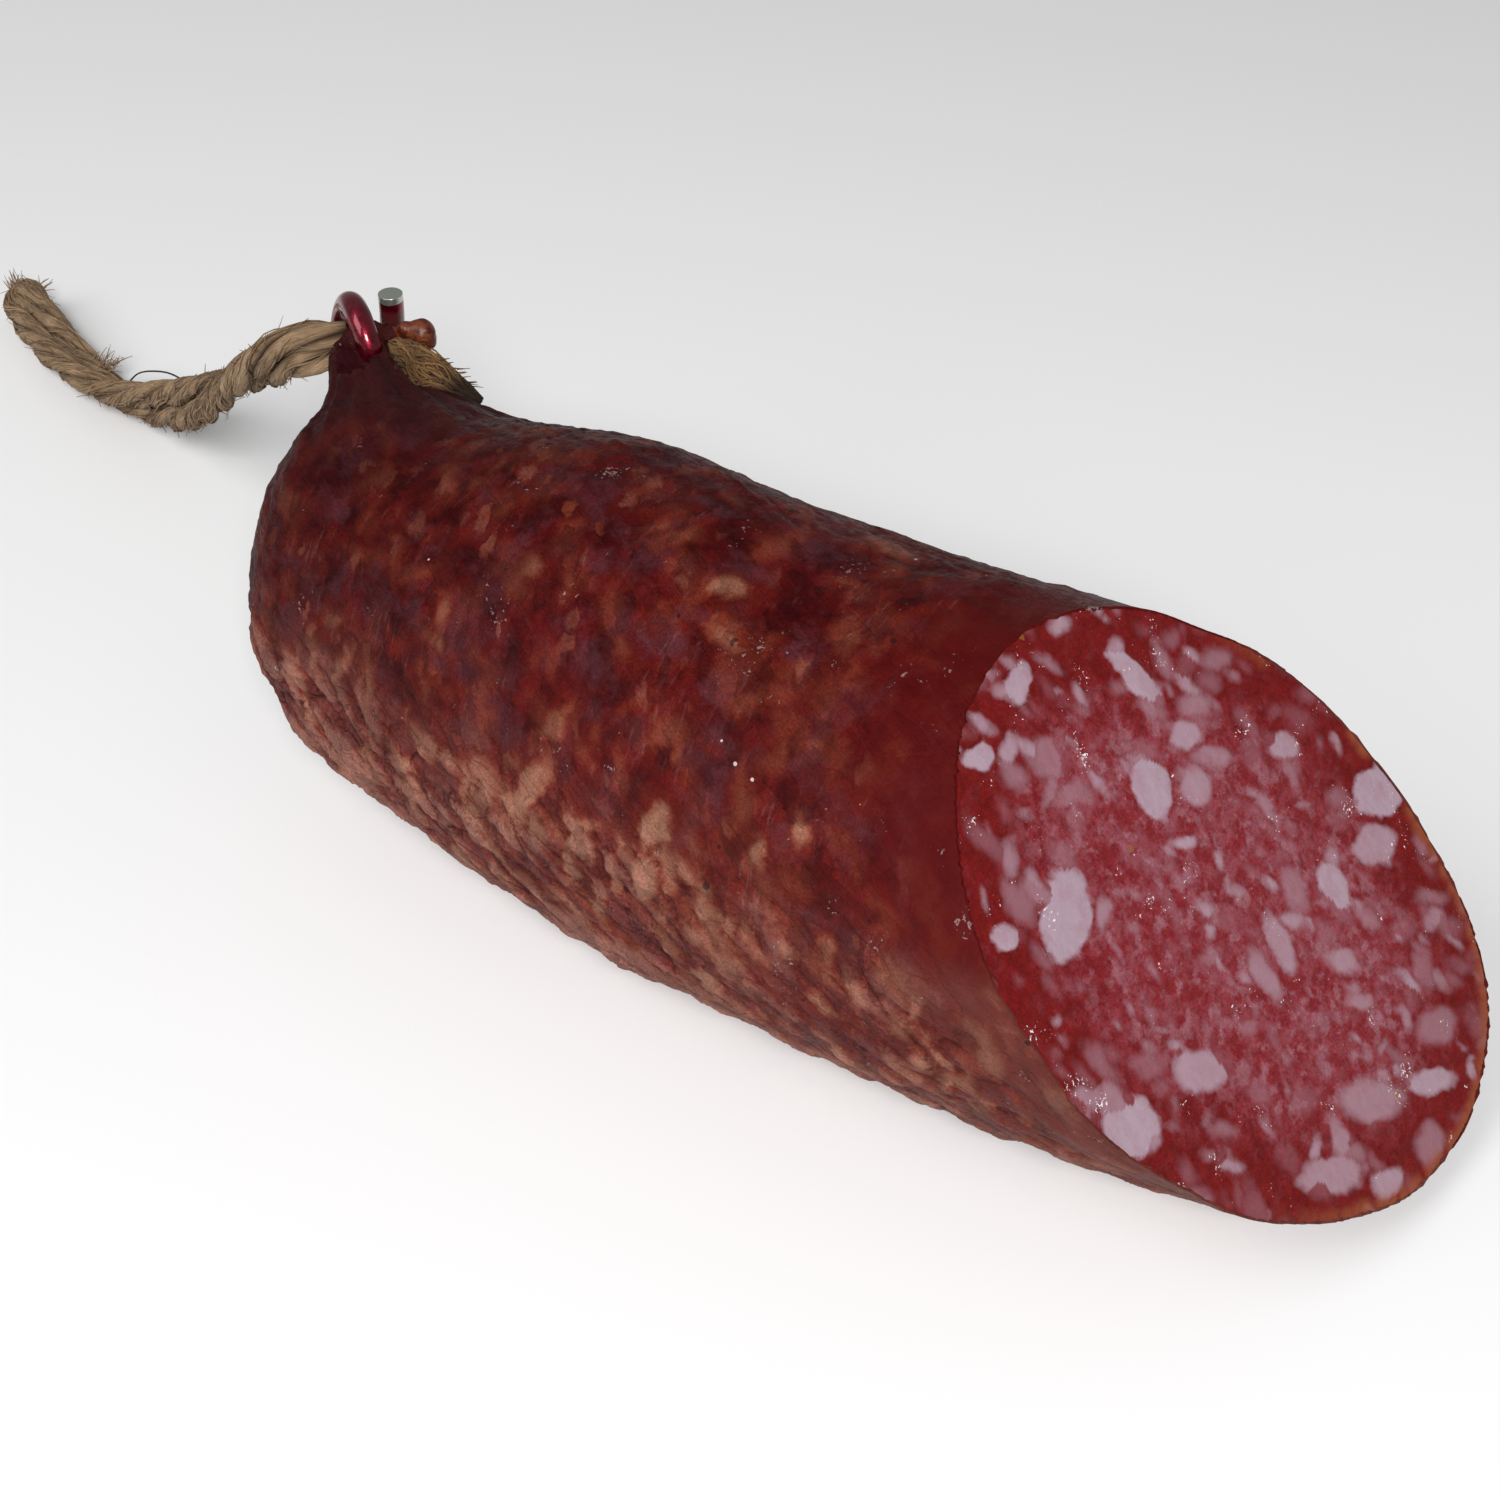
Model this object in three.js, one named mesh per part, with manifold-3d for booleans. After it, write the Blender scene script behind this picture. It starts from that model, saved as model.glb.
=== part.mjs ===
// Cured sausage, cut across at a slant, with its closing clip and its loop of twine.
// Millimetres, +Z up. +X runs along the sausage to the cut end, -X to the tied end.
// The origin is the middle of the flat strip that the sausage lies on.

import * as THREE from 'three';
import { mergeVertices } from 'three/addons/utils/BufferGeometryUtils.js';
import Module from 'manifold-3d';

const wasm = await Module();
wasm.setup();

// ---- driving dimensions -------------------------------------------------------------

const TIED_X = -52.5;         // the tied end's pole
const CAP_LENGTH = 17.8;      // how much of the length the rounded end takes
const CAP_FULLNESS = 2.9;     // 2 is an ellipse, more is blunter
const CAP_SOFTNESS = 0.9;     // below 1 the rounding runs further into the straight part
const POLE_RISE = 5.5;        // the pole lies above the middle line, towards the neck

const CUT_X = 52;             // where the cut crosses the middle line
const CUT_HEIGHT = 23.8;      // height of that crossing
const CUT_SIDE = 1.2;         // its place across
const CUT_LEAN_Y = -0.144;    // the cut's normal is (1, CUT_LEAN_Y, CUT_LEAN_Z)
const CUT_LEAN_Z = 0.943;

const WIRE_RADIUS = 1.3;      // the clip's round aluminium wire
const RING_RADIUS = 3.6;      // from the ring's axis to the middle of the wire
const RING_PITCH = 4.6;       // the wire moves this far along the axis in one turn
const RING_START = -100;      // degrees round the ring from its top, near side first
const RING_TOP_OFFSET = -1.1; // where the first pass over the top lies along the axis
const POST_OFFSET = 0.7;      // its free end leaves the turn by this much more
const POST_HEIGHT = 3.3;      // and stands this far over the ring's axis

const TWINE_RADIUS = 3.1;     // the doubled jute twine
const GAP = 0.3;              // left between pieces that touch

// The middle of the clip, the direction of what runs through it, and the level
// direction square to that.
const clipCentre = new THREE.Vector3(-55.5, 15.9, 38.4);
const clipAxis = new THREE.Vector3(0.832, 0.555, 0).normalize();
const clipSide = new THREE.Vector3(clipAxis.y, -clipAxis.x, 0);
const up = new THREE.Vector3(0, 0, 1);

// The filled casing's middle line, [x, y, z, radius], from the tied end to past the cut.
const BODY = [
  [-52.5, 4.0, 20.8, 20.0],
  [-38.0, 3.2, 20.2, 20.0],
  [-20.0, 1.6, 21.7, 22.2],
  [-2.0, 0.1, 22.1, 22.8],
  [16.0, -0.5, 22.4, 23.0],
  [34.0, -0.2, 23.4, 23.6],
  [52.0, 1.2, 25.6, 24.8],
  [66.0, 4.2, 27.1, 25.4],
  [82.0, 9.2, 29.0, 25.9],
];

// The gathered neck, [x, y, z, radius]: out of the rounded end and up to the clip.
const NECK = [
  [-41.5, 4.5, 30.0, 11.0],
  [-46.4, 7.4, 34.6, 7.4],
  [-48.7, 9.2, 36.4, 4.8],
  [-50.8, 10.9, 37.4, 3.6],
  [-53.0, 12.8, 38.1, 3.1],
  [-55.2, 15.2, 38.8, 2.2],
];

// The gathered casing through the clip and the small dried knob at its end.
const CASING_END = [
  [-56.4, 14.6, 38.9, 1.4],
  [-55.2, 15.4, 39.0, 1.7],
  [-53.6, 16.8, 39.0, 1.8],
  [-52.4, 17.8, 38.9, 1.9],
  [-51.3, 18.6, 39.5, 1.2],
  [-50.1, 19.5, 39.3, 1.55],
  [-49.0, 20.2, 39.1, 0.7],
];

// The twine's cut ends: pressed flat in the clip, then spread behind the shoulder.
const TWINE_TAIL = [
  [-58.8, 13.7, 38.1, 2.3],
  [-57.3, 15.0, 37.8, 1.8],
  [-55.9, 16.5, 37.7, 1.4],
  [-54.1, 17.2, 37.4, 1.5],
  [-52.2, 17.4, 37.0, 2.0],
  [-49.2, 17.2, 36.6, 2.2],
  [-46.0, 17.1, 36.1, 1.9],
  [-43.2, 17.3, 35.5, 1.2],
  [-41.2, 17.5, 35.0, 0.5],
];

// The free loop of twine: straight out of the clip, down, and along the table.
const TWINE_ROUTE = [
  [-59.0, 13.6, 37.6],
  [-62.0, 12.7, 36.4],
  [-65.6, 13.1, 33.8],
  [-70.0, 14.8, 30.3],
  [-75.5, 17.3, 25.9],
  [-81.5, 20.2, 21.3],
  [-88.0, 22.9, 16.5],
  [-95.0, 25.8, 11.8],
  [-102.5, 28.6, 7.6],
  [-109.5, 30.6, 4.6],
  [-116.0, 31.9, 3.3],
  [-122.5, 33.6, 3.2],
  [-129.0, 35.9, 3.2],
  [-135.0, 38.4, 3.2],
  [-140.0, 40.8, 3.2],
  [-144.2, 43.0, 3.2],
];

// ---- shared form makers -------------------------------------------------------------

const rad = THREE.MathUtils.degToRad;

function toSolid(geometry) {
  const plain = geometry.clone();
  plain.deleteAttribute('normal');
  plain.deleteAttribute('uv');
  const merged = mergeVertices(plain, 1e-4);
  return new wasm.Manifold(new wasm.Mesh({
    numProp: 3,
    vertProperties: new Float32Array(merged.attributes.position.array),
    triVerts: new Uint32Array(merged.index.array),
  }));
}

function toGeometry(solid) {
  const mesh = solid.getMesh();
  const geometry = new THREE.BufferGeometry();
  geometry.setAttribute('position', new THREE.BufferAttribute(mesh.vertProperties, 3));
  geometry.setIndex(new THREE.BufferAttribute(mesh.triVerts, 1));
  geometry.computeVertexNormals();
  return geometry;
}

// A closed skin over rings that all have the same number of points. Both ends are
// closed by a fan to the middle of the end ring. Ring points turn clockwise as seen
// from the first ring towards the last.
function skinRings(rings) {
  const sides = rings[0].length;
  const points = rings.flat();
  const first = points.length;
  const middle = (ring) => ring.reduce((sum, p) => sum.add(p), new THREE.Vector3()).divideScalar(sides);
  points.push(middle(rings[0]), middle(rings.at(-1)));
  const faces = [];
  for (let side = 0; side < sides; side++) {
    const next = (side + 1) % sides;
    for (let ring = 0; ring < rings.length - 1; ring++) {
      const here = ring * sides;
      const there = here + sides;
      faces.push(here + side, here + next, there + side);
      faces.push(here + next, there + next, there + side);
    }
    const last = (rings.length - 1) * sides;
    faces.push(first, next, side);
    faces.push(first + 1, last + side, last + next);
  }
  const geometry = new THREE.BufferGeometry().setFromPoints(points);
  geometry.setIndex(faces);
  return geometry;
}

// A round form swept along [x, y, z, radius] stations. pleats folds run along it, and
// grow from nothing at its start to pleatDepth of its radius at its end.
function sweepStations(stations, steps, sides, grow = 0, pleats = 0, pleatDepth = 0) {
  const line = new THREE.CatmullRomCurve3(stations.map(([x, y, z]) => new THREE.Vector3(x, y, z)));
  const sizes = new THREE.CatmullRomCurve3(stations.map(([, , , r]) => new THREE.Vector3(r, 0, 0)));
  const across = new THREE.Vector3(0, 0, 1);
  const rings = [];
  for (let step = 0; step <= steps; step++) {
    const t = step / steps;
    const middle = line.getPoint(t);
    const along = line.getTangent(t);
    across.addScaledVector(along, -across.dot(along)).normalize();
    const aside = new THREE.Vector3().crossVectors(along, across);
    const size = sizes.getPoint(t).x + grow;
    const ring = [];
    for (let side = 0; side < sides; side++) {
      const angle = (side / sides) * 2 * Math.PI;
      const r = size * (1 + pleatDepth * t * Math.cos(pleats * angle));
      ring.push(middle.clone()
        .addScaledVector(across, r * Math.cos(angle))
        .addScaledVector(aside, r * Math.sin(angle)));
    }
    rings.push(ring);
  }
  return skinRings(rings);
}

// A round bar of constant radius along a curve.
function roundBar(curve, radius, sides, steps) {
  const section = new THREE.Shape();
  section.absarc(0, 0, radius, 0, 2 * Math.PI);
  return new THREE.ExtrudeGeometry(section, {
    extrudePath: curve,
    steps,
    curveSegments: sides / 2, // an arc takes two steps for each
    bevelEnabled: false,
  });
}

// A block that fills everything on the +Z side of its own origin.
function halfSpace(origin, normal) {
  const size = 400;
  const block = new THREE.BoxGeometry(size, size, size);
  block.translate(0, 0, size / 2);
  block.applyQuaternion(new THREE.Quaternion().setFromUnitVectors(up, normal));
  block.translate(origin.x, origin.y, origin.z);
  return toSolid(block);
}

function named(name, geometry, color, roughness, metalness) {
  const mesh = new THREE.Mesh(
    geometry,
    new THREE.MeshStandardMaterial({ color, roughness, metalness }),
  );
  mesh.name = name;
  return mesh;
}

// ---- the sausage's own form ---------------------------------------------------------

// The filled casing settles unevenly: three soft swells run round and along it.
function swell(x, angle) {
  return 0.22 * Math.sin(0.085 * x + 2 * angle)
    + 0.16 * Math.sin(0.16 * x - 3 * angle + 1.3)
    + 0.1 * Math.sin(0.31 * x + 5 * angle + 0.6);
}

const bodyLine = new THREE.CatmullRomCurve3(BODY.map(([x, y, z]) => new THREE.Vector3(x, y, z)));
const bodySize = new THREE.CatmullRomCurve3(BODY.map(([x, , , r]) => new THREE.Vector3(x, r, 0)));

function bodyRing(t, sides) {
  const middle = bodyLine.getPoint(t);
  const toPole = Math.max(1 - (middle.x - TIED_X) / CAP_LENGTH, 0);
  const roundness = Math.sqrt(1 - toPole ** CAP_FULLNESS) ** CAP_SOFTNESS;
  middle.z += POLE_RISE * toPole ** 1.5;
  const ring = [];
  for (let side = 0; side < sides; side++) {
    const angle = (side / sides) * 2 * Math.PI;
    const radius = (bodySize.getPoint(t).y + swell(middle.x, angle)) * roundness;
    ring.push(new THREE.Vector3(0, Math.cos(angle), Math.sin(angle))
      .multiplyScalar(radius)
      .add(middle));
  }
  return ring;
}

function bodyForm() {
  const sides = 60;
  const ringCount = 34;
  const rings = [];
  for (let i = 1; i <= ringCount; i++) {
    rings.push(bodyRing((i / ringCount) ** 1.8, sides));
  }
  return skinRings(rings);
}

// ---- the clip's wire ----------------------------------------------------------------

// Up the far side, over the top, down the near side, under, and up again to a free end
// that stands straight beside the first turn.
function clipLine() {
  const points = [];
  const stepAngle = 15;
  const lastAngle = 260;
  const place = (angle, out) => clipCentre.clone()
    .addScaledVector(clipAxis, RING_TOP_OFFSET + (RING_PITCH * angle) / 360)
    .addScaledVector(clipSide, RING_RADIUS * Math.sin(rad(angle)))
    .addScaledVector(up, out);
  for (let angle = RING_START; angle <= lastAngle; angle += stepAngle) {
    points.push(place(angle, RING_RADIUS * Math.cos(rad(angle))));
  }
  const post = clipAxis.clone().multiplyScalar(POST_OFFSET);
  points.push(place(270, POST_HEIGHT / 2).add(post), place(270, POST_HEIGHT).add(post));
  return new THREE.CatmullRomCurve3(points);
}

const clipForm = (radius) => roundBar(clipLine(), radius, 12, 44);

// ---- the twine ----------------------------------------------------------------------

const twineLine = new THREE.CatmullRomCurve3(TWINE_ROUTE.map((p) => new THREE.Vector3(...p)));
const twineForm = (radius) => roundBar(twineLine, radius, 10, 22);
const twineTailForm = (grow) => sweepStations(TWINE_TAIL, 20, 12, grow);

// ---- the pieces ---------------------------------------------------------------------

function makeSausage() {
  const cutPoint = new THREE.Vector3(CUT_X, CUT_SIDE, CUT_HEIGHT);
  const cutNormal = new THREE.Vector3(1, CUT_LEAN_Y, CUT_LEAN_Z).normalize();
  return toSolid(bodyForm())
    .add(toSolid(sweepStations(NECK, 16, 36, 0, 9, 0.12)))
    .add(toSolid(sweepStations(CASING_END, 18, 16)))
    .subtract(toSolid(clipForm(WIRE_RADIUS + GAP)))
    .subtract(toSolid(twineForm(TWINE_RADIUS + GAP)))
    .subtract(toSolid(twineTailForm(GAP)))
    .subtract(halfSpace(cutPoint, cutNormal))
    .subtract(halfSpace(new THREE.Vector3(0, 0, 0), up.clone().negate()));
}

function makeTwineTail() {
  return toSolid(twineTailForm(0))
    .subtract(toSolid(clipForm(WIRE_RADIUS + GAP)))
    .subtract(toSolid(twineForm(TWINE_RADIUS + GAP)));
}

const sausage = new THREE.Group();
sausage.add(named('sausage', toGeometry(makeSausage()), 0x5e1512, 0.45, 0));
sausage.add(named('clip', clipForm(WIRE_RADIUS), 0x9c1230, 0.25, 0.8));
sausage.add(named('twine', twineForm(TWINE_RADIUS), 0x8f7355, 0.9, 0));
sausage.add(named('twine_tail', toGeometry(makeTwineTail()), 0x8f7355, 0.9, 0));

export default sausage;
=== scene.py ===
import math
import random

import bpy
import numpy as np
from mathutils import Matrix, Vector, kdtree, noise


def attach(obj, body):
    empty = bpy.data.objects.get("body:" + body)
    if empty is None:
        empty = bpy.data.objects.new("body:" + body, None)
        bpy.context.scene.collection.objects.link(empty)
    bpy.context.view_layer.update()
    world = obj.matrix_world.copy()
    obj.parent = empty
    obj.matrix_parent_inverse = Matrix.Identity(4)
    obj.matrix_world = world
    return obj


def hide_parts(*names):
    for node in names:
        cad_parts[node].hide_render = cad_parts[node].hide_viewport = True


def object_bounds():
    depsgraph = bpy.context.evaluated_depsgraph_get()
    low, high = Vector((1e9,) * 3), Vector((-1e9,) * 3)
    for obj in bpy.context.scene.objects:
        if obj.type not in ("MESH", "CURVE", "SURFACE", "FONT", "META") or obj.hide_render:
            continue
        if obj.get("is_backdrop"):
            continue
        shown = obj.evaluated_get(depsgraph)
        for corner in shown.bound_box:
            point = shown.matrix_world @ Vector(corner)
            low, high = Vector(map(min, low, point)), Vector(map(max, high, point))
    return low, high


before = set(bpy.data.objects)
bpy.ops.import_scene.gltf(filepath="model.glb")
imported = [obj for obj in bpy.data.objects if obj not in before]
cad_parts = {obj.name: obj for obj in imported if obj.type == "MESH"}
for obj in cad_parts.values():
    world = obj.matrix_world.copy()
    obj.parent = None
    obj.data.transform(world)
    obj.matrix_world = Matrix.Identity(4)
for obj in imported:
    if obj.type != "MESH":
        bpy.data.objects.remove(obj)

cad_box = [list(corner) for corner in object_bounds()]
MM = 0.001

# ---- camera, light and floor --------------------------------------------------------
# The sausage lies on a plain pale table top. One large soft light stands near the
# camera, a weak one opposite, and the room behind is dim.

LOOK_FROM = Vector((98.71, -142.92, 165.49)) * MM
LOOK_AT = Vector((2.64, 1.24, 20.13)) * MM

camera_data = bpy.data.cameras.new("camera")
camera_data.lens = 57.6
camera_data.sensor_width = 36.0
camera_data.clip_start = 0.005
camera = bpy.data.objects.new("camera", camera_data)
camera.location = LOOK_FROM
camera.rotation_mode = "QUATERNION"
camera.rotation_quaternion = (LOOK_AT - LOOK_FROM).to_track_quat("-Z", "Y")
bpy.context.scene.collection.objects.link(camera)
bpy.context.scene.camera = camera
bpy.context.scene.view_settings.view_transform = "Standard"


def soft_light(name, at, size, watts):
    """A square soft box at a place in metres, turned towards the sausage."""
    data = bpy.data.lights.new(name, "AREA")
    data.shape = "SQUARE"
    data.size = size
    data.energy = watts
    light = bpy.data.objects.new(name, data)
    light.location = at
    light.rotation_mode = "QUATERNION"
    light.rotation_quaternion = (LOOK_AT - Vector(at)).to_track_quat("-Z", "Y")
    bpy.context.scene.collection.objects.link(light)


soft_light("key", (0.36, -0.46, 0.50), size=0.20, watts=5.0)
soft_light("fill", (-0.30, -0.50, 0.55), size=0.50, watts=2.6)

world = bpy.data.worlds.new("room")
world.use_nodes = True
bpy.context.scene.world = world
room = world.node_tree.nodes["Background"]
room.inputs["Color"].default_value = (1.0, 1.0, 1.0, 1.0)
room.inputs["Strength"].default_value = 0.25


def shader(name):
    """A new material with its Principled shader. Returns (material, tree, shader)."""
    material = bpy.data.materials.new(name)
    material.use_nodes = True
    return material, material.node_tree, material.node_tree.nodes["Principled BSDF"]


def shade(red, green, blue):
    """A linear colour."""
    return (red, green, blue, 1.0)


FLOOR_SIZE = 6.0
FLOOR_DROP = 0.0002          # metres below the sausage, so that the two don't flicker
bpy.ops.object.select_all(action="DESELECT")
bpy.ops.mesh.primitive_plane_add(size=FLOOR_SIZE, location=(0, 0, -FLOOR_DROP))
floor = bpy.context.object
floor.name = "floor"
floor_paint, tree, surface = shader("table_top")
surface.inputs["Base Color"].default_value = shade(0.9, 0.9, 0.9)
surface.inputs["Roughness"].default_value = 0.8
surface.inputs["Specular IOR Level"].default_value = 0.1
floor.data.materials.append(floor_paint)
floor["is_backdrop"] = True

# ---- the loop of twine --------------------------------------------------------------
# A hanging loop of soft jute, one length folded double. Its two legs lie round each
# other, each of three plies, and each ply is a loose bundle of coarse fibres. The clip
# holds both legs, and from there the loop falls to the table and lies on it.

# Where the middle of the twine runs. A separate projecting program gave its first points,
# which were then moved by hand.
TWINE_ROUTE = [
    (-59.0, 13.6, 37.6), (-62.0, 12.7, 36.4), (-65.6, 13.1, 33.8), (-70.0, 14.8, 30.3),
    (-75.5, 17.3, 25.9), (-81.5, 20.2, 21.3), (-88.0, 22.9, 16.5), (-95.0, 25.8, 11.8),
    (-102.5, 28.6, 7.6), (-109.5, 30.6, 4.6), (-116.0, 31.9, 3.3), (-122.5, 33.6, 3.2),
    (-129.0, 35.9, 3.2), (-135.0, 38.4, 3.2), (-140.0, 40.8, 3.2), (-144.2, 43.0, 3.2),
]
IN_THE_CLIP = (-56.6, 15.2, 38.0)
LEG_SPREAD = 1.55            # from the middle of the twine to the middle of a leg
LEG_TURN = -125.0            # millimetres of twine for one turn of the legs
PLY_COUNT = 3
PLY_OFFSET = 0.78
PLY_TURN = -28.0
PLY_SIZE = 0.86
IN_CLIP = 4                  # millimetres over which the clip presses the twine
FIBRES = 900
HAIRS = 1500
HAIR_POINTS = 6
TABLE_GAP = 0.12             # loose hairs stay this far above the table
TWINE_SEED = 11
TONE_SEED = 5
# Where a broken strand or the worn fold frays: its place, the way it points, hairs.
FRAYED = [
    ((-119.2, 34.6, 4.6), (0.55, 0.85, 1.1), 40), ((-144.4, 43.0, 4.4), (-1.2, 0.9, 0.8), 44),
    ((-142.6, 44.6, 4.2), (-0.2, 1.3, 0.5), 12),
]
# One long dark horsehair lies along the twine in a low bow.
HORSEHAIR = [
    (-113.6, 33.2, 5.0), (-112.6, 33.9, 6.1), (-110.6, 34.2, 7.0), (-107.6, 34.5, 7.6),
    (-104.6, 34.2, 7.6), (-102.1, 32.9, 7.9), (-99.2, 30.2, 9.9),
]
HORSEHAIR_SIZE = 0.11

# Each twine's colours: painted shade for the grooves between raised fibres, painted highlight for the
# raised fibres, and painted shade for strands deep inside the twine.
JUTE_GROOVE_SHADE = shade(0.090, 0.044, 0.018)
JUTE_RIDGE_HIGHLIGHT = shade(0.45, 0.30, 0.172)
JUTE_INNER_SHADE = shade(0.05, 0.023, 0.009)
# The fuzz has no outward numbers, so its third colour is the plain colour of all of it, and the first
# two don't show.
FUZZ_GROOVE_SHADE = shade(0.16, 0.09, 0.042)
FUZZ_RIDGE_HIGHLIGHT = shade(0.40, 0.28, 0.17)
FUZZ_ALL_OVER = shade(0.3, 0.2, 0.12)
HORSEHAIR_GROOVE_SHADE = shade(0.012, 0.008, 0.006)
HORSEHAIR_RIDGE_HIGHLIGHT = shade(0.035, 0.022, 0.015)
HORSEHAIR_INNER_SHADE = shade(0.02, 0.012, 0.008)


def run_of(line):
    """How far along a line each of its points lies."""
    return np.concatenate([[0], np.cumsum(np.linalg.norm(np.diff(line, axis=0), axis=1))])


def smooth_line(points, step):
    """An even line of points, step apart, through the given ones."""
    p = np.array(points, float)
    p = np.vstack([2 * p[0] - p[1], p, 2 * p[-1] - p[-2]])
    fine = []
    for a, b, c, d in zip(p, p[1:], p[2:], p[3:]):
        for t in np.linspace(0, 1, 24, endpoint=False):
            fine.append(0.5 * (2 * b + (c - a) * t + (2 * a - 5 * b + 4 * c - d) * t * t
                               + (3 * b - a - 3 * c + d) * t ** 3))
    fine.append(p[-2])
    return even(np.array(fine), step)


def even(line, step):
    """The same line, with its points step apart."""
    run = run_of(line)
    count = max(int(round(run[-1] / step)), 2) + 1
    at = np.linspace(0, run[-1], count)
    return np.stack([np.interp(at, run, line[:, k]) for k in range(3)], 1)


def sides_of(line, first=(0, 0, 1)):
    """Two directions square to a line at each of its points, with no twist."""
    along = np.gradient(line, axis=0)
    along /= np.linalg.norm(along, axis=1)[:, None]
    up = np.array(first, float)
    ups = []
    for a in along:
        up = up - a * up.dot(a)
        up /= np.linalg.norm(up)
        ups.append(up.copy())
    ups = np.array(ups)
    return ups, np.cross(along, ups)


def wound(line, offset, turn, phase, ramp=1.0, sway=0.0):
    """A line wound round another one: offset out, one turn in so many millimetres. Ramp
    scales the offset along the line, and sway adds to the angle."""
    up, aside = sides_of(line)
    angle = 2 * math.pi * (run_of(line) / turn + phase) + sway
    out = offset * (np.ones(len(line)) * ramp)
    return line + out[:, None] * (up * np.cos(angle)[:, None] + aside * np.sin(angle)[:, None])


def search_tree(points):
    """A tree that finds the nearest of the points quickly."""
    tree = kdtree.KDTree(len(points))
    for i, p in enumerate(points):
        tree.insert(p, i)
    tree.balance()
    return tree


def strands(name, lines, sizes, sides, middle=None, reach=1.0):
    """One mesh of many closed strands, each with its own number of sides. Its UV map
    holds how far along and round a strand a point lies. It has two attributes: one tone
    for each strand, and how far out of the twine's middle a point lies, as a share of
    reach."""
    points, faces, places, tones, outs = [], [], [], [], []
    tree_of_middle = None if middle is None else search_tree(middle)
    rng = random.Random(TONE_SEED)
    start = 0
    for line, size, count in zip(lines, sizes, sides):
        up, aside = sides_of(line)
        around = np.arange(count) / count * 2 * math.pi
        ring = (up[:, None, :] * np.cos(around)[None, :, None]
                + aside[:, None, :] * np.sin(around)[None, :, None])
        points.append((line[:, None, :] + ring * size[:, None, None]).reshape(-1, 3))
        tone = rng.random()
        tones += [tone] * (len(line) * count)
        if tree_of_middle is not None:
            outs += [min(tree_of_middle.find(p)[2] / reach, 1.0) for p in points[-1].tolist()]
        run = run_of(line)
        girth = 2 * math.pi * float(np.mean(size))
        last = len(line) - 1
        for i in range(last):
            for k in range(count):
                n = (k + 1) % count
                a, b = start + i * count, start + (i + 1) * count
                faces.append((a + k, a + n, b + n, b + k))
                left, right = [tone * 90 + girth * share / count for share in (k, k + 1)]
                places += [(run[i], left), (run[i], right), (run[i + 1], right), (run[i + 1], left)]
        for at, turn in ((0, -1), (last, 1)):
            faces.append([start + at * count + k for k in range(count)][::turn])
            places += [(run[at], tone * 90)] * count
        start += len(line) * count
    mesh = bpy.data.meshes.new(name)
    mesh.from_pydata(np.vstack(points) * MM, [], faces)
    mesh.uv_layers.new(name="strand").data.foreach_set("uv", np.array(places, np.float32).ravel())
    for field_name, values in (("tone", tones), ("outward", outs)):
        if values:
            mesh.attributes.new(field_name, "FLOAT", "POINT").data.foreach_set("value", values)
    mesh.polygons.foreach_set("use_smooth", [True] * len(mesh.polygons))
    piece = bpy.data.objects.new(name, mesh)
    bpy.context.scene.collection.objects.link(piece)
    return piece


def join(value, socket):
    """Sets a socket to a value, or links another node's output to it."""
    if isinstance(value, bpy.types.NodeSocket):
        socket.id_data.links.new(value, socket)
    else:
        socket.default_value = value


def place(tree, kind, settings=None, **values):
    """Adds a node. Each value goes to the input of its name, or of its number after an i."""
    node = tree.nodes.new(kind)
    for key, value in (settings or {}).items():
        setattr(node, key, value)
    for key, value in values.items():
        index = key.replace("_", " ")
        join(value, node.inputs[int(index[1:]) if index[1:].isdigit() else index])
    return node


def add(kind, settings=None, **values):
    """Adds a node beside the ones that its values come from. Returns its outputs."""
    tree = next(v.id_data for v in values.values() if isinstance(v, bpy.types.NodeSocket))
    return place(tree, kind, settings, **values).outputs


def maths(operation, first, second=0.0):
    """One step of arithmetic between two values."""
    return add("ShaderNodeMath", {"operation": operation}, i0=first, i1=second)[0]


def times(first, second):
    """The product of two values."""
    return maths("MULTIPLY", first, second)


def plus(first, second):
    """The sum of two values."""
    return maths("ADD", first, second)


def minus(first, second):
    """The first value less the second."""
    return maths("SUBTRACT", first, second)


def field(tree, name):
    """One of the numbers kept on the mesh."""
    return place(tree, "ShaderNodeAttribute", {"attribute_name": name}).outputs["Fac"]


def millimetres(tree):
    """The piece's own coordinates, in millimetres."""
    where = place(tree, "ShaderNodeTexCoord").outputs["Object"]
    return add("ShaderNodeVectorMath", {"operation": "SCALE"}, i0=where, Scale=1 / MM)[0]


def shifted(where, **values):
    """Coordinates moved, turned or stretched."""
    return add("ShaderNodeMapping", Vector=where, **values)[0]


def speckle(where, scale, detail=2.0, rough=0.5, distortion=0.0):
    """Plain noise from 0 to 1, scale in waves per millimetre."""
    return add("ShaderNodeTexNoise", Vector=where, Scale=scale, Detail=detail, Roughness=rough,
               Distortion=distortion)["Fac"]


def between(value, low, high, to_low=0.0, to_high=1.0):
    """Rises smoothly from to_low to to_high while value goes from low to high."""
    return add("ShaderNodeMapRange", {"interpolation_type": "SMOOTHSTEP"}, Value=value,
               From_Min=low, From_Max=high, To_Min=to_low, To_Max=to_high)[0]


def blend(amount, first, second, how="MIX"):
    """Mixes two colours by an amount from 0 to 1."""
    return add("ShaderNodeMix", {"data_type": "RGBA", "blend_type": how}, i0=amount, i6=first,
               i7=second)[2]


def tinted(colour, value, low, high, dark, light):
    """A colour made darker or lighter, from dark to light while value goes low to high."""
    return blend(1.0, colour, between(value, low, high, dark, light), "MULTIPLY")


def coat(surface, height, strength, depth, **values):
    """Gives a shader its values, and a fine relief of a depth in metres."""
    for name, value in values.items():
        join(value, surface.inputs[name.replace("_", " ")])
    relief = add("ShaderNodeBump", Height=height, Strength=strength, Distance=depth)[0]
    join(relief, surface.inputs["Normal"])


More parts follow.
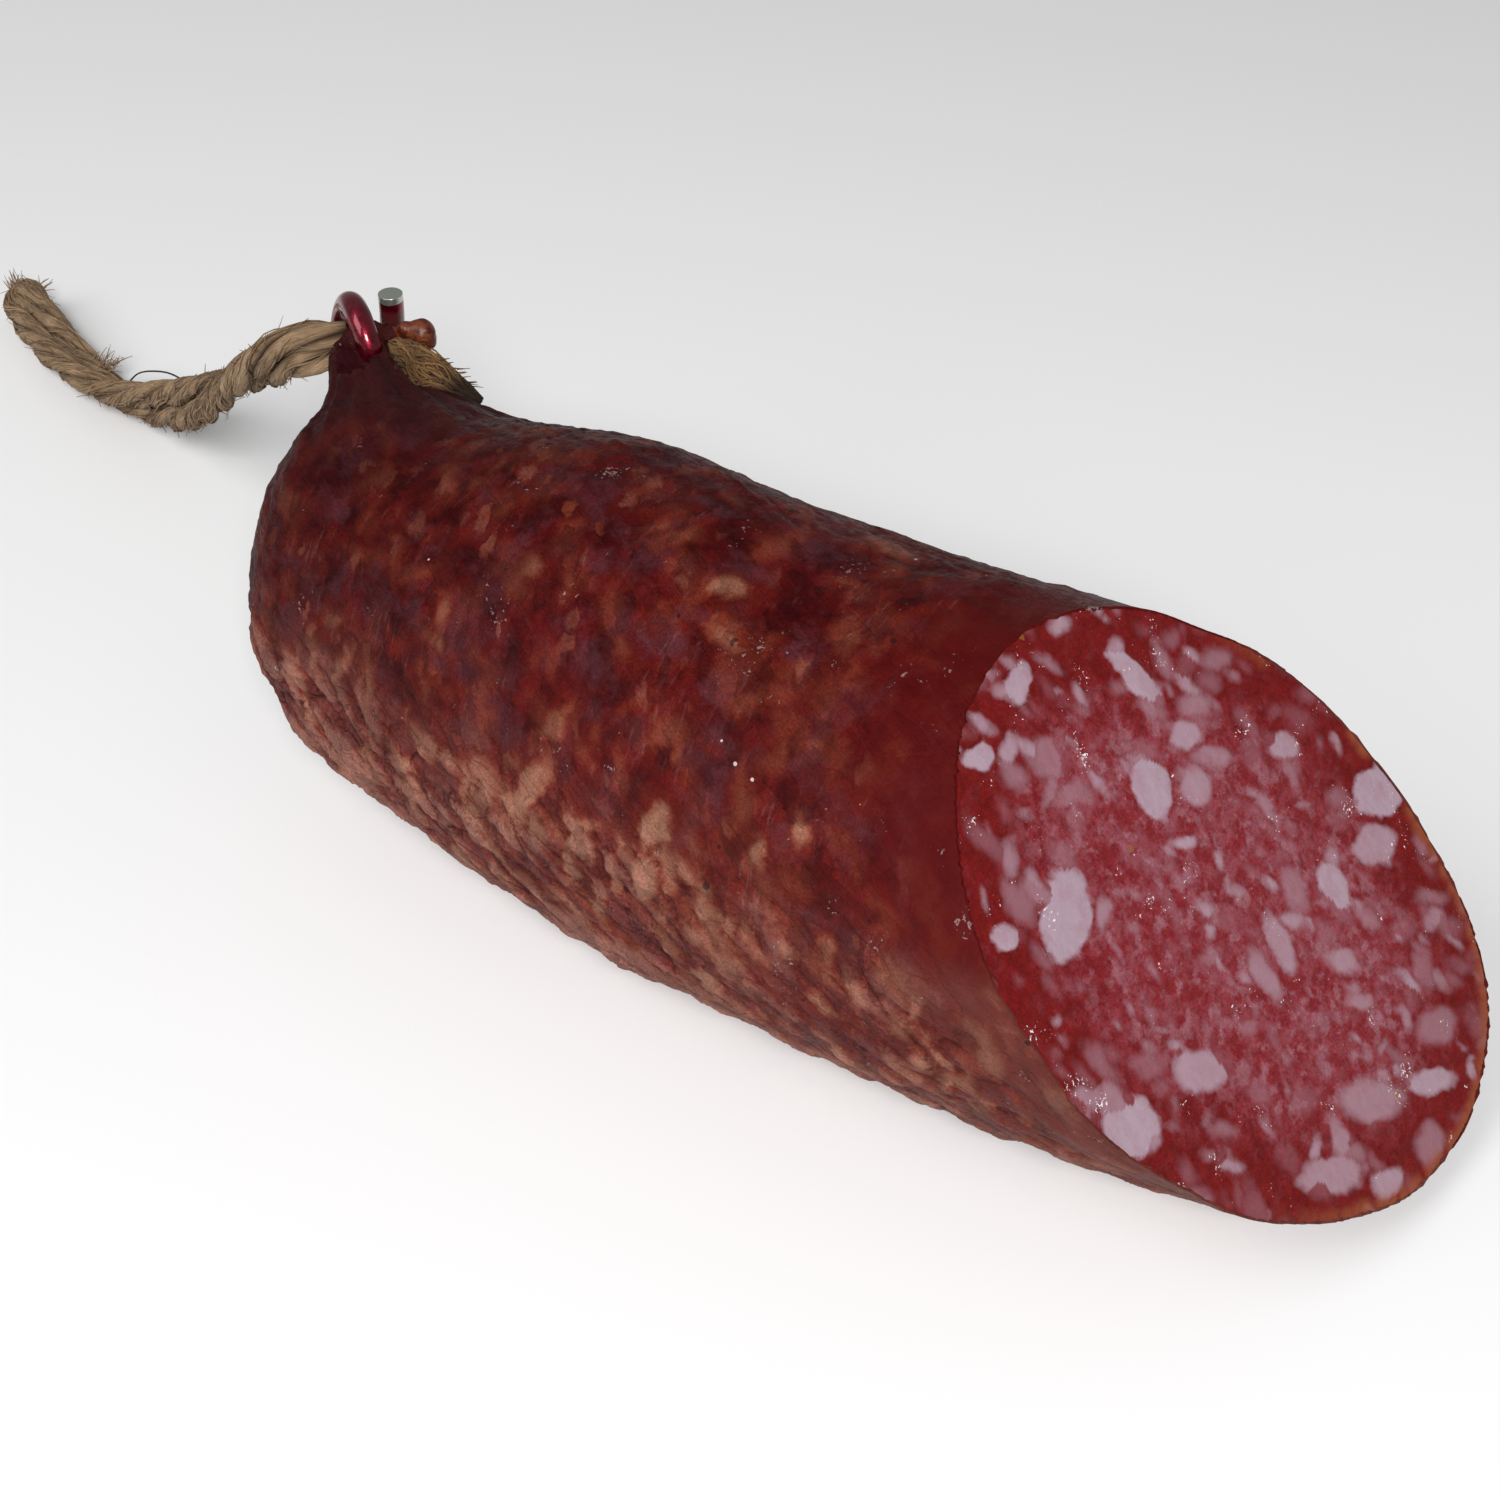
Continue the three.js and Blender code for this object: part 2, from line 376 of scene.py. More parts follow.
def new_group(name, inputs, outputs):
    """A shader node group with the named sockets. Returns it, what comes in and what
    goes out."""
    group = bpy.data.node_groups.new(name, "ShaderNodeTree")
    for way, sockets in (("INPUT", inputs), ("OUTPUT", outputs)):
        for kind, names in sockets.items():
            for socket in names.split():
                group.interface.new_socket(socket, in_out=way, socket_type="NodeSocket" + kind)
    return group, group.nodes.new("NodeGroupInput").outputs, group.nodes.new("NodeGroupOutput").inputs


def jute_fibre():
    """A group: coarse dry fibre with streaks along each strand and a random tone for each, with
    painted highlight on raised streaks and painted shade between them and inside the twine."""
    group, given, made = new_group(
        "jute_fibre", {"Vector": "Strand Place", "Float": "Tone Outward", "Color": "Dark Light Hollow"},
        {"Color": "Colour", "Float": "Roughness Height"})
    streak = shifted(given["Strand"], Rotation=(0.0, 0.0, 0.3), Scale=(0.22, 3.6, 1.0))
    fibre = speckle(streak, 2.2, 5.0, 0.7)
    patch = speckle(given["Place"], 0.35)
    mixed = plus(times(fibre, 0.75), plus(times(given["Tone"], 0.2), times(patch, 0.3)))
    colour = blend(between(mixed, 0.42, 0.86), given["Dark"], given["Light"])
    join(blend(between(given["Outward"], 0.5, 0.88), given["Hollow"], colour), made["Colour"])
    join(between(fibre, 0.2, 0.8, 0.95, 0.7), made["Roughness"])
    join(fibre, made["Height"])
    return group


JUTE_FIBRE = jute_fibre()


def jute(name, dark, light, hollow):
    """Dry matt fibre in three tones: painted shade in its grooves, painted highlight on its ridges, and
    painted shade deep inside.
    """
    material, tree, surface = shader(name)
    strand = place(tree, "ShaderNodeUVMap", {"uv_map": "strand"}).outputs[0]
    fibre = add("ShaderNodeGroup", {"node_tree": JUTE_FIBRE}, Strand=strand, Place=millimetres(tree),
                Tone=field(tree, "tone"), Outward=field(tree, "outward"), Dark=dark, Light=light,
                Hollow=hollow)
    coat(surface, fibre["Height"], 1.0, 0.00025, Base_Color=fibre["Colour"],
         Roughness=fibre["Roughness"], Specular_IOR_Level=0.06, Sheen_Weight=0.08,
         Sheen_Roughness=0.5)
    return material


# Both legs follow the route, turn by turn, and meet in a tight fold at the far end.
rng = random.Random(TWINE_SEED)
route = smooth_line([IN_THE_CLIP, *TWINE_ROUTE], 1.0)
straight = route[:-2]
held = 0.75 + 0.25 * np.clip(np.arange(len(straight)) / IN_CLIP, 0, 1)
leg_out, leg_back = [wound(straight, LEG_SPREAD, LEG_TURN, phase, held) for phase in (0.0, 0.5)]
middle = (leg_out[-1] + leg_back[-1]) / 2
across = (leg_out[-1] - leg_back[-1]) / 2
ahead = route[-1] - route[-2]
ahead = ahead / np.linalg.norm(ahead)
fold = [middle + across * math.cos(t) + ahead * np.linalg.norm(across) * 1.7 * math.sin(t)
        for t in np.linspace(0, math.pi, 9)[1:-1]]
leg_line = even(np.vstack([leg_out, fold, leg_back[::-1]]), 1.0)
share = np.linspace(0, 1, len(leg_line))
pressed = 0.78 + 0.22 * np.clip(np.minimum(share, 1 - share) * len(leg_line) / IN_CLIP, 0, 1)

lines, sizes, plies = [], [], []
for ply in range(PLY_COUNT):
    plies.append(wound(leg_line, PLY_OFFSET, PLY_TURN, ply / PLY_COUNT, pressed))
    swell = np.array([noise.noise(Vector((i * 0.23, ply * 7.3, 1.7))) for i in range(len(leg_line))])
    lines.append(plies[-1])
    sizes.append(PLY_SIZE * pressed * (1 + 0.22 * swell))
for i in range(FIBRES):
    ply = plies[rng.randrange(PLY_COUNT)]
    start = rng.randrange(2, len(ply) - 12)
    stop = min(start + rng.randrange(8, 30), len(ply) - 2)
    sway = np.array([noise.noise(Vector((k * 0.17, i * 2.3, 5.1))) for k in range(stop - start)])
    lines.append(wound(ply[start:stop], PLY_SIZE * rng.uniform(0.86, 1.16), rng.uniform(-14, -40),
                       rng.random(), 1 + 0.1 * sway, 1.6 * sway))
    thin = np.interp(np.linspace(0, 1, stop - start), [0, 0.15, 0.85, 1], [0.4, 1, 1, 0.4])
    sizes.append(rng.uniform(0.06, 0.16) * thin)
twine = strands("twine_loop", lines, sizes, [12] * PLY_COUNT + [4] * FIBRES, leg_line,
                PLY_OFFSET + PLY_SIZE)
twine.data.materials.append(jute("jute_twine", JUTE_GROOVE_SHADE, JUTE_RIDGE_HIGHLIGHT, JUTE_INNER_SHADE))

# Loose hairs stand off the twine all along, and thickly where it has frayed.
hairs, hair_sizes = [], []
hair_share = np.linspace(0, 1, HAIR_POINTS)[:, None]
for i in range(HAIRS):
    at = rng.randrange(5, len(leg_line) - 5)
    heading = leg_line[at + 1] - leg_line[at - 1]
    heading /= np.linalg.norm(heading)
    out = np.array([rng.gauss(0, 1) for _ in range(3)])
    out -= heading * out.dot(heading)
    out /= np.linalg.norm(out)
    length = 0.6 + 3.2 * rng.random() ** 3
    bow = rng.uniform(0.25, 1.0)
    side = np.cross(heading, out) * rng.uniform(-0.5, 0.5)
    lift = out * (1.25 + length * 0.35 * bow * hair_share)
    lean = (heading * rng.choice((-1, 1)) + side) * length * hair_share * (1 - 0.3 * hair_share * bow)
    hairs.append(leg_line[at] + lift + lean)
    hair_sizes.append(np.linspace(0.075, 0.035, HAIR_POINTS) * rng.uniform(0.6, 1.2))
for foot, way, count in FRAYED:
    for i in range(count):
        start = np.array(foot) + np.array([rng.gauss(0, spread) for spread in (0.9, 0.5, 0.3)])
        aim = np.array(way) + np.array([rng.uniform(-spread, spread) for spread in (1.1, 0.8, 0.6)])
        curl = np.array([0.6, 0, -0.5]) * rng.uniform(-0.6, 1.2)
        hairs.append(start + aim * hair_share + curl * hair_share * hair_share)
        hair_sizes.append(np.linspace(0.09, 0.03, HAIR_POINTS) * rng.uniform(0.6, 1.3))
for hair in hairs:
    hair[:, 2] = np.maximum(hair[:, 2], TABLE_GAP)
twine_fuzz = strands("twine_fuzz", hairs, hair_sizes, [4] * len(hairs))
twine_fuzz.data.materials.append(jute("jute_hair", FUZZ_GROOVE_SHADE, FUZZ_RIDGE_HIGHLIGHT, FUZZ_ALL_OVER))

bow_line = smooth_line(HORSEHAIR, 0.5)
horsehair = strands("horsehair", [bow_line], [np.full(len(bow_line), HORSEHAIR_SIZE)], [6], leg_line)
horsehair.data.materials.append(jute("dark_hair", HORSEHAIR_GROOVE_SHADE, HORSEHAIR_RIDGE_HIGHLIGHT, HORSEHAIR_INNER_SHADE))

for piece in (twine, twine_fuzz, horsehair):
    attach(piece, "root")
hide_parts("twine")

# ---- the filled casing --------------------------------------------------------------
# Dried collagen casing, tight over coarsely cut pork and back fat. It's gathered at one
# end into a pleated neck, and it has shrunk in the drying, so its flanks are wrinkled.
# Fat shows through as pale patches where it lies against the skin.

# The middle line of the filled part, with its radius: x, y, z, radius in millimetres.
# A separate fitting program found its bend and radii, and they are rounded here.
BODY = np.array([
    (-52.5, 4.0, 20.8, 20.0), (-38.0, 3.2, 20.2, 20.0), (-20.0, 1.6, 21.7, 22.2),
    (-2.0, 0.1, 22.1, 22.8), (16.0, -0.5, 22.4, 23.0), (34.0, -0.2, 23.4, 23.6),
    (52.0, 1.2, 25.6, 24.8), (66.0, 4.2, 27.1, 25.4), (82.0, 9.2, 29.0, 25.9),
])
CUT_PLACE = np.array([52.0, 1.2, 23.8])
CUT_FACING = np.array([1.0, -0.144, 0.943]) / np.linalg.norm([1.0, -0.144, 0.943])
BODY_HEADING = Vector((0.973, 0.209, 0.104))    # of the middle line at the cut
CLIP_PLACE = np.array([-55.5, 15.9, 38.4])
NECK_FOOT = np.array([-43.0, 5.6, 31.5])
KNOB_PLACE = np.array([-50.4, 19.2, 39.3])
STEM_FOOT = np.array([-54.2, 16.4, 38.7])
# Millimetres along the stem, and how thick it is there.
STEM_SHAPE = np.array([(0.0, 1.7), (1.4, 1.2), (2.2, 0.8), (3.0, 0.6), (6.3, 0.4)])
SKIN_GRAIN = 0.465           # spacing of the skin's points
SKIN_THICKNESS = 0.25
PAST_CUT = 9                 # how far the body is drawn out before it is cut
FACE_DEPTH = 1.2             # how deep the meat of the cut is let into the casing
FACE_TAPER = 0.035           # its share of narrowing for each millimetre of depth

# Fat against the skin: millimetres along, degrees round with 90 at the top and 180
# towards the camera, half length, half width, turn, paleness. Most rows are rounded from
# what a separate projecting program printed. The paleness was set by hand.
SKIN_FAT = [
    (5.0, 104, 2.4, 1.3, -13, 0.75), (8.0, 116, 2.2, 1.1, 20, 0.6),
    (7.0, 140, 2.1, 0.9, -20, 0.45), (8.5, 160, 2.3, 2.0, 80, 1.0),
    (8.0, 173, 2.4, 1.5, 84, 0.9), (21.5, 147, 1.4, 1.1, 69, 0.8),
    (0.5, 166, 2.3, 0.9, -20, 0.7), (0.5, 173, 1.7, 1.3, -27, 0.95),
    (-4.0, 175, 1.8, 1.2, 69, 0.7), (-6.0, 167, 4.6, 1.4, -67, 0.75),
    (-3.5, 119, 2.3, 1.0, 57, 0.3), (13.0, 89, 1.0, 0.8, -11, 0.5),
    (16.5, 103, 1.1, 0.9, -23, 0.35), (12.5, 127, 1.3, 0.8, 0, 0.45),
    (14.5, 123, 2.0, 1.3, 0, 0.25), (16.0, 146, 2.6, 1.0, 69, 0.45),
    (-2.0, 97, 2.2, 1.2, -50, 0.45), (5.0, 89, 2.0, 1.2, 56, 0.4),
    (-12.0, 105, 1.2, 0.9, 50, 0.4), (18.5, 155, 1.3, 0.9, 74, 0.8),
    (-1.0, 196, 2.6, 0.8, 20, 0.8), (17.5, 178, 1.6, 0.7, 10, 0.6),
    (17.5, 184, 2.2, 1.3, 18, 0.6), (12.0, 204, 3.4, 1.2, 15, 0.6),
    (-44.0, 127, 1.9, 1.1, 49, 0.45), (-33.0, 150, 1.5, 1.1, -19, 0.6),
    (-20.0, 136, 1.8, 0.9, 65, 0.65), (-19.0, 144, 1.2, 0.9, 64, 0.7),
    (-28.0, 130, 2.0, 0.8, 56, 0.5), (-31.5, 132, 2.4, 0.9, 5, 0.35),
    (-24.5, 130, 1.9, 0.7, -41, 0.45), (-28.0, 105, 2.9, 0.8, 50, 0.5),
    (-29.0, 91, 2.0, 1.3, -60, 0.35), (-13.0, 119, 1.5, 1.1, 54, 0.6),
    (-35.0, 162, 2.4, 0.9, 83, 0.65), (-31.0, 161, 3.4, 0.9, -61, 0.7),
    (-39.0, 171, 2.3, 1.0, 89, 0.6), (27.0, 126, 1.0, 0.9, -18, 0.5),
    (26.0, 133, 0.9, 0.8, -19, 0.4), (26.5, 105, 0.9, 0.6, -21, 0.3),
    (20.5, 104, 1.1, 0.6, -53, 0.3), (31.0, 158, 1.6, 0.9, 40, 0.4),
    (-12.0, 182, 2.0, 1.0, 60, 0.7), (-22.0, 178, 1.8, 1.1, 70, 0.65),
]


def body_at(x):
    """Middle line and radius at a place along the sausage."""
    return [np.interp(x, BODY[:, 0], BODY[:, k]) for k in (1, 2, 3)]


def points_of(mesh):
    """A mesh's points, in millimetres."""
    co = np.zeros(len(mesh.vertices) * 3, np.float32)
    mesh.vertices.foreach_get("co", co)
    return co.reshape(-1, 3).astype(float) / MM


def facings_of(mesh):
    """The direction each of a mesh's points faces."""
    way = np.zeros(len(mesh.vertices) * 3, np.float32)
    mesh.vertex_normals.foreach_get("vector", way)
    return way.reshape(-1, 3).astype(float)


def move_points(mesh, points):
    """Puts a mesh's points at places in millimetres."""
    mesh.vertices.foreach_set("co", (points * MM).astype(np.float32).ravel())
    mesh.update()


def waves(points, stretch, seed, octaves=1):
    """Noise from -1 to 1 at each point; stretch is waves per millimetre each way."""
    at = points * np.array(stretch) + seed
    total = np.zeros(len(points))
    for octave in range(octaves):
        grown = at * 2.0 ** octave
        total += np.array([noise.noise(p) for p in grown.tolist()]) / 1.8 ** octave
    return total


def soft_step(value, low, high):
    """0 at low, 1 at high, and smooth between."""
    t = np.clip((value - low) / (high - low), 0, 1)
    return t * t * (3 - 2 * t)


def twisted(points, pitch):
    """The points with the sausage's section turned more and more along it, so that
    lines straight in the result run round it at a slant."""
    y, z, r = [np.interp(points[:, 0], BODY[:, 0], BODY[:, k]) for k in (1, 2, 3)]
    angle = np.arctan2(points[:, 2] - z, points[:, 1] - y) + pitch * points[:, 0]
    out = np.hypot(points[:, 1] - y, points[:, 2] - z)
    return np.stack([points[:, 0], out * np.cos(angle), out * np.sin(angle)], 1)


def fat_fields(points, lumps, warp):
    """How deep each point lies in the nearest fat lump, in millimetres and positive
    outside, and that lump's paleness. A lump is (centre, three half axes as rows, their
    lengths, paleness)."""
    broad, fine = [np.stack([waves(points, (rate,) * 3, seed + 17.3 * k) for k in range(3)], 1)
                   for rate, seed in ((0.42, 3.1), (1.3, 9.4))]
    moved = points + broad * warp + fine * warp * 0.35
    tree = search_tree(moved.tolist())
    depth = np.full(len(points), 3.0)
    paleness = np.zeros(len(points))
    for centre, axes, lengths, pale in lumps:
        near = tree.find_range(centre, max(lengths) + 2.0)
        if not near:
            continue
        ids = np.array([n[1] for n in near])
        local = (moved[ids] - centre) @ np.array(axes).T / np.array(lengths)
        far = np.linalg.norm(local, axis=1)
        d = (far - 1) * min(lengths) * (0.55 + 0.45 * far / np.maximum(far, 1))
        closer = d < depth[ids]
        depth[ids[closer]] = d[closer]
        paleness[ids[closer]] = pale
    return depth, paleness


def save_field(mesh, name, values):
    """Keeps one number for each point, for the mesh's material."""
    mesh.attributes.new(name, "FLOAT", "POINT").data.foreach_set("value", values.astype(np.float32))


def turned_lump(centre, first, second, out, lengths, turn, pale):
    """A lump of fat whose long side is turned from the first direction to the second."""
    t = math.radians(turn)
    long_axis = first * math.cos(t) + second * math.sin(t)
    short_axis = -first * math.sin(t) + second * math.cos(t)
    return centre, (long_axis, short_axis, out), lengths, pale


def skin_lump(x, degrees, half_length, half_width, turn, pale, sunk):
    """A flattened lump of fat lying against the skin."""
    y, z, r = body_at(x)
    a = math.radians(degrees)
    out = np.array([0.0, math.cos(a), math.sin(a)])
    round_way = np.array([0.0, -math.sin(a), math.cos(a)])
    return turned_lump(np.array([x, y, z]) + out * (r - sunk), np.array([1.0, 0.0, 0.0]), round_way,
                       out, (half_length, half_width, 1.6), turn, pale)


def pick(piece):
    """Selects one piece alone and makes it the active one."""
    bpy.ops.object.select_all(action="DESELECT")
    piece.select_set(True)
    bpy.context.view_layer.objects.active = piece


def apply_modifier(piece, kind, **settings):
    """Adds a modifier to the active piece and applies it."""
    modifier = piece.modifiers.new(kind.lower(), kind)
    for key, value in settings.items():
        setattr(modifier, key, value)
    bpy.ops.object.modifier_apply(modifier=modifier.name)


def select_cut(mesh):
    """Selects the face with the most corners, which is the cut, and nothing else."""
    for parts in (mesh.vertices, mesh.edges, mesh.polygons):
        parts.foreach_set("select", [False] * len(parts))
    max(mesh.polygons, key=lambda face: len(face.vertices)).select = True


# The filled body is taken from the plain one, with its cut end drawn out past the cut,
# remade as a fine even mesh, and eased until its flats are gone.
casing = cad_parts["sausage"].copy()
casing.data = casing.data.copy()
casing.name = "casing"
casing.parent = None
for key in list(casing.keys()):
    del casing[key]
casing.data.materials.clear()
bpy.context.scene.collection.objects.link(casing)
pick(casing)
bpy.ops.object.mode_set(mode="EDIT")
bpy.ops.mesh.select_all(action="SELECT")
bpy.ops.mesh.remove_doubles(threshold=0.00001)
bpy.ops.mesh.select_all(action="DESELECT")
bpy.ops.object.mode_set(mode="OBJECT")
on_cut = (points_of(casing.data) - CUT_PLACE) @ CUT_FACING > -0.02
casing.data.vertices.foreach_set("select", on_cut)
for face in casing.data.polygons:
    face.select = all(on_cut[v] for v in face.vertices)
bpy.ops.object.mode_set(mode="EDIT")
bpy.ops.mesh.extrude_region_move(TRANSFORM_OT_translate={"value": BODY_HEADING * PAST_CUT * MM})
bpy.ops.object.mode_set(mode="OBJECT")
apply_modifier(casing, "REMESH", mode="VOXEL", voxel_size=SKIN_GRAIN * MM)
points = points_of(casing.data)
to_neck = np.linalg.norm(points - NECK_FOOT, axis=1)
on_neck = (points[:, 0] < -40) & (points[:, 2] > 33)
body_share = soft_step(to_neck, 6, 12) * (1 - on_neck * soft_step(14 - to_neck, -6, 4))
eased = casing.vertex_groups.new(name="body")
for level in range(11):
    ids = np.nonzero(np.round(body_share * 10).astype(int) == level)[0].tolist()
    if ids:
        eased.add(ids, 0.12 + 0.88 * level / 10, "REPLACE")
apply_modifier(casing, "SMOOTH", factor=0.5, iterations=24, vertex_group="body")
casing.vertex_groups.clear()

# The clip's wire, which is pressed into the neck: one turn and a straight end.
WIRE_RADIUS = 1.3
RING_RADIUS = 3.6
RING_PITCH = 5.2
RING_LEAN = 0.7
RING_TOP_OFFSET = -0.3
POST_HEIGHT = 3.3
CLIP_AXIS = np.array([0.832, 0.555, 0.0]) / math.hypot(0.832, 0.555)
CLIP_SIDE = np.array([CLIP_AXIS[1], -CLIP_AXIS[0], 0.0])

wire_points = []
for degrees in range(-100, 261, 15):
    turn = math.radians(degrees)
    ahead = RING_TOP_OFFSET + RING_PITCH * degrees / 360 + RING_LEAN * math.sin(turn)
    wire_points.append(CLIP_PLACE + CLIP_AXIS * ahead + CLIP_SIDE * RING_RADIUS * math.sin(turn)
                       + np.array([0, 0, RING_RADIUS * math.cos(turn)]))
post_foot = (CLIP_PLACE + CLIP_AXIS * (RING_TOP_OFFSET + RING_PITCH * 0.75 - RING_LEAN)
             - CLIP_SIDE * RING_RADIUS)
for share in (0.5, 1.0):
    wire_points.append(post_foot + np.array([0, 0, POST_HEIGHT * share]))
wire = smooth_line(wire_points, 0.25)

# Relief: soft unevenness, fat that stands a little proud, wrinkles that slant down the
# flanks, and pleats that run up the neck. Depths are in millimetres.
LUMPS_ALL_OVER = 760
LUMPS_ON_FLANK = 300
UNEVEN = 0.3
FAT_PROUD = 0.16
FLANK_FAT_PROUD = 0.3        # more than that, on the flanks
FLANK_FOLD, FLANK_WRINKLE = 0.46, 0.24
FLANK_SWELL = 0.34
BACK_FOLD, BACK_WRINKLE = 0.10, 0.07
CREASE_DEPTH, FLANK_CREASE_DEPTH = 0.05, 0.14
GRAIN_HEIGHT = 0.05
PLEAT_DEPTH, FINE_PLEAT_DEPTH = 0.17, 0.06

points, facing = points_of(casing.data), facings_of(casing.data)
rng = random.Random(7)
lumps = [skin_lump(*lump, 0.3 + (1 - lump[5]) * 0.5) for lump in SKIN_FAT]
for i in range(LUMPS_ALL_OVER):
    x, degrees = rng.uniform(-50, 72), rng.uniform(0, 360)
    half = 0.5 + 1.2 * rng.random() ** 1.5
    palest = 0.75 if 160 < degrees < 330 else 0.6
    lumps.append(skin_lump(x, degrees, half * rng.uniform(1.2, 2.1), half * rng.uniform(0.6, 0.9),
                           rng.gauss(62, 28), rng.uniform(0.15, palest), rng.uniform(0.1, 1.1)))
for i in range(LUMPS_ON_FLANK):
    x, degrees, half = rng.uniform(-46, 62), rng.uniform(166, 246), rng.uniform(0.8, 1.7)
    lumps.append(skin_lump(x, degrees, half * rng.uniform(1.1, 1.9), half * rng.uniform(0.6, 0.85),
                           rng.gauss(50, 20), rng.uniform(0.4, 0.9), rng.uniform(0.2, 0.9)))
fat, paleness = fat_fields(points, lumps, 1.0)
y, z, r = [np.interp(points[:, 0], BODY[:, 0], BODY[:, k]) for k in (1, 2, 3)]
angle = np.degrees(np.arctan2(points[:, 2] - z, points[:, 1] - y)) % 360
from_cut = -(points - CUT_PLACE) @ CUT_FACING
slanted = twisted(points, -0.024)
front_flank = soft_step(angle, 150, 178) * (1 - soft_step(angle, 262, 280))
flank = np.maximum(front_flank, 0.75 * soft_step(np.minimum(angle, 360 - angle), 50, 20))
flank *= 1 - 0.45 * soft_step(points[:, 0], -12, 22)
calm = soft_step(from_cut, 1.0, 7.0)
patchy = soft_step(waves(points, (0.05, 0.08, 0.08), 4.0), -0.35, 0.35)
fold = waves(slanted, (0.15, 0.30, 0.30), 21.0, 2)
small_fold = waves(slanted, (0.34, 0.85, 0.85), 33.0, 2)
ridge, small_ridge = np.abs(fold) * 2.6, np.abs(small_fold) * 2.6
crease = 1 - soft_step(np.abs(waves(slanted, (0.07, 0.26, 0.26), 57.0)), 0.0, 0.09)
height = UNEVEN * waves(points, (0.11, 0.14, 0.14), 8.0)
height += (FAT_PROUD + FLANK_FAT_PROUD * flank) * (1 - soft_step(fat, -0.9, 0.4)) * paleness
folds = FLANK_FOLD * (ridge - 0.55) + FLANK_WRINKLE * (small_ridge - 0.5)
height += flank * calm * folds * (0.45 + 0.55 * patchy)
height += front_flank * calm * FLANK_SWELL * waves(slanted, (0.14, 0.3, 0.3), 71.0, 2)
height += (1 - flank) * calm * (BACK_FOLD * (ridge - 0.5) + BACK_WRINKLE * (small_ridge - 0.5))
height -= calm * crease * (FLANK_CREASE_DEPTH * flank + CREASE_DEPTH)
height += GRAIN_HEIGHT * waves(points, (0.9, 0.9, 0.9), 12.0) * calm
low = soft_step(points[:, 2], 0.2, 2.5)
on_body = soft_step(np.linalg.norm(points - CLIP_PLACE, axis=1), 9, 18)
height *= low * (0.25 + 0.75 * on_body)
points += facing * height[:, None]

# Pleats gather towards the clip.
neck_line = np.array([NECK_FOOT, CLIP_PLACE])
heading = (neck_line[1] - neck_line[0]) / np.linalg.norm(neck_line[1] - neck_line[0])
side = np.cross(heading, [0, 0, 1])
side /= np.linalg.norm(side)
upward = np.cross(side, heading)
local = points - NECK_FOOT
turned = np.arctan2(local @ upward, local @ side)
run = local @ heading
out = np.linalg.norm(local - run[:, None] * heading, axis=1)
gather = soft_step(run, -12, 6) * (1 - soft_step(out, 14, 26)) * low
pleat = np.cos(17 * turned + 2.2 * np.sin(3 * turned) + 0.09 * run)
pleat_fine = np.cos(41 * turned + 3.0 * np.sin(5 * turned + 1.0))
pleats = PLEAT_DEPTH * pleat + FINE_PLEAT_DEPTH * pleat_fine
points += facing * (gather * np.minimum(out / 7, 1) * pleats)[:, None]

# The wire is pressed into the pleats from above and from the near side, with a long
# slope on the side of the body and a steep one towards the knob.
press_way = CLIP_SIDE * 0.643 + np.array([0, 0, 0.766])
near_wire = search_tree(wire[(wire - CLIP_PLACE) @ CLIP_SIDE > 0.3])
for i in np.nonzero(np.linalg.norm(points - CLIP_PLACE, axis=1) < 10)[0]:
    offset = points[i] - np.array(near_wire.find(points[i])[0])
    rise = offset @ press_way
    beside = np.linalg.norm(offset - rise * press_way)
    steep = 2.0 if offset @ CLIP_AXIS > 0.5 else 0.75
    limit = -1.1 + steep * max(beside - 0.6, 0.0) ** 1.3
    if beside < 4.5 and rise > limit:
        points[i] -= press_way * (rise - limit)

# The casing's own end is a dried stem with a round knob.
stem = KNOB_PLACE - STEM_FOOT
stem_way = stem / np.linalg.norm(stem)
along_stem = (points - STEM_FOOT) @ stem_way
off_stem = points - STEM_FOOT - along_stem[:, None] * stem_way
far_off = np.linalg.norm(off_stem, axis=1)
on_stem = (along_stem > 0) & (far_off < 3.0) & (points[:, 2] > 36.5)
slots = np.round(along_stem[on_stem] / 0.25).astype(int)
mean_off = np.bincount(slots, far_off[on_stem]) / np.maximum(np.bincount(slots), 1)
wanted = np.interp(along_stem[on_stem], STEM_SHAPE[:, 0], STEM_SHAPE[:, 1])
rescale = (wanted / np.maximum(mean_off[slots], 0.2) - 1) * soft_step(along_stem[on_stem], 0, 1.2)
points[on_stem] += off_stem[on_stem] * rescale[:, None]
points[:, 2] = np.maximum(points[:, 2], 0.0)
move_points(casing.data, points)

for name, values in {"fat": fat, "paleness": paleness, "flank": flank, "fold": fold,
                     "small_fold": small_fold, "gather": np.clip(gather, 0, 1),
                     "crease": np.clip(0.5 + height * 1.1, 0, 1)}.items():
    save_field(casing.data, name, values)
slant_field = casing.data.attributes.new("slanted", "FLOAT_VECTOR", "POINT")
slant_field.data.foreach_set("vector", slanted.astype(np.float32).ravel())

# The cut: straight across at its slant, with a thin rim of skin round the meat. Its face
# is copied as a plug, which trims the meat later, and then let into the casing.
bpy.ops.object.mode_set(mode="EDIT")
bpy.ops.mesh.select_all(action="SELECT")
bpy.ops.mesh.bisect(plane_co=Vector(CUT_PLACE) * MM, plane_no=CUT_FACING, use_fill=True,
                    clear_outer=True)
bpy.ops.object.mode_set(mode="OBJECT")
select_cut(casing.data)
bpy.ops.object.mode_set(mode="EDIT")
bpy.ops.mesh.inset(thickness=SKIN_THICKNESS * MM)
bpy.ops.mesh.duplicate()
bpy.ops.mesh.separate(type="SELECTED")
bpy.ops.object.mode_set(mode="OBJECT")
plug = next(o for o in bpy.context.selected_objects if o != casing)
plug.name = "plug"
for name in [a.name for a in plug.data.attributes if not a.is_internal and not a.is_required]:
    plug.data.attributes.remove(plug.data.attributes[name])
plug.select_set(False)
select_cut(casing.data)
bpy.ops.object.mode_set(mode="EDIT")
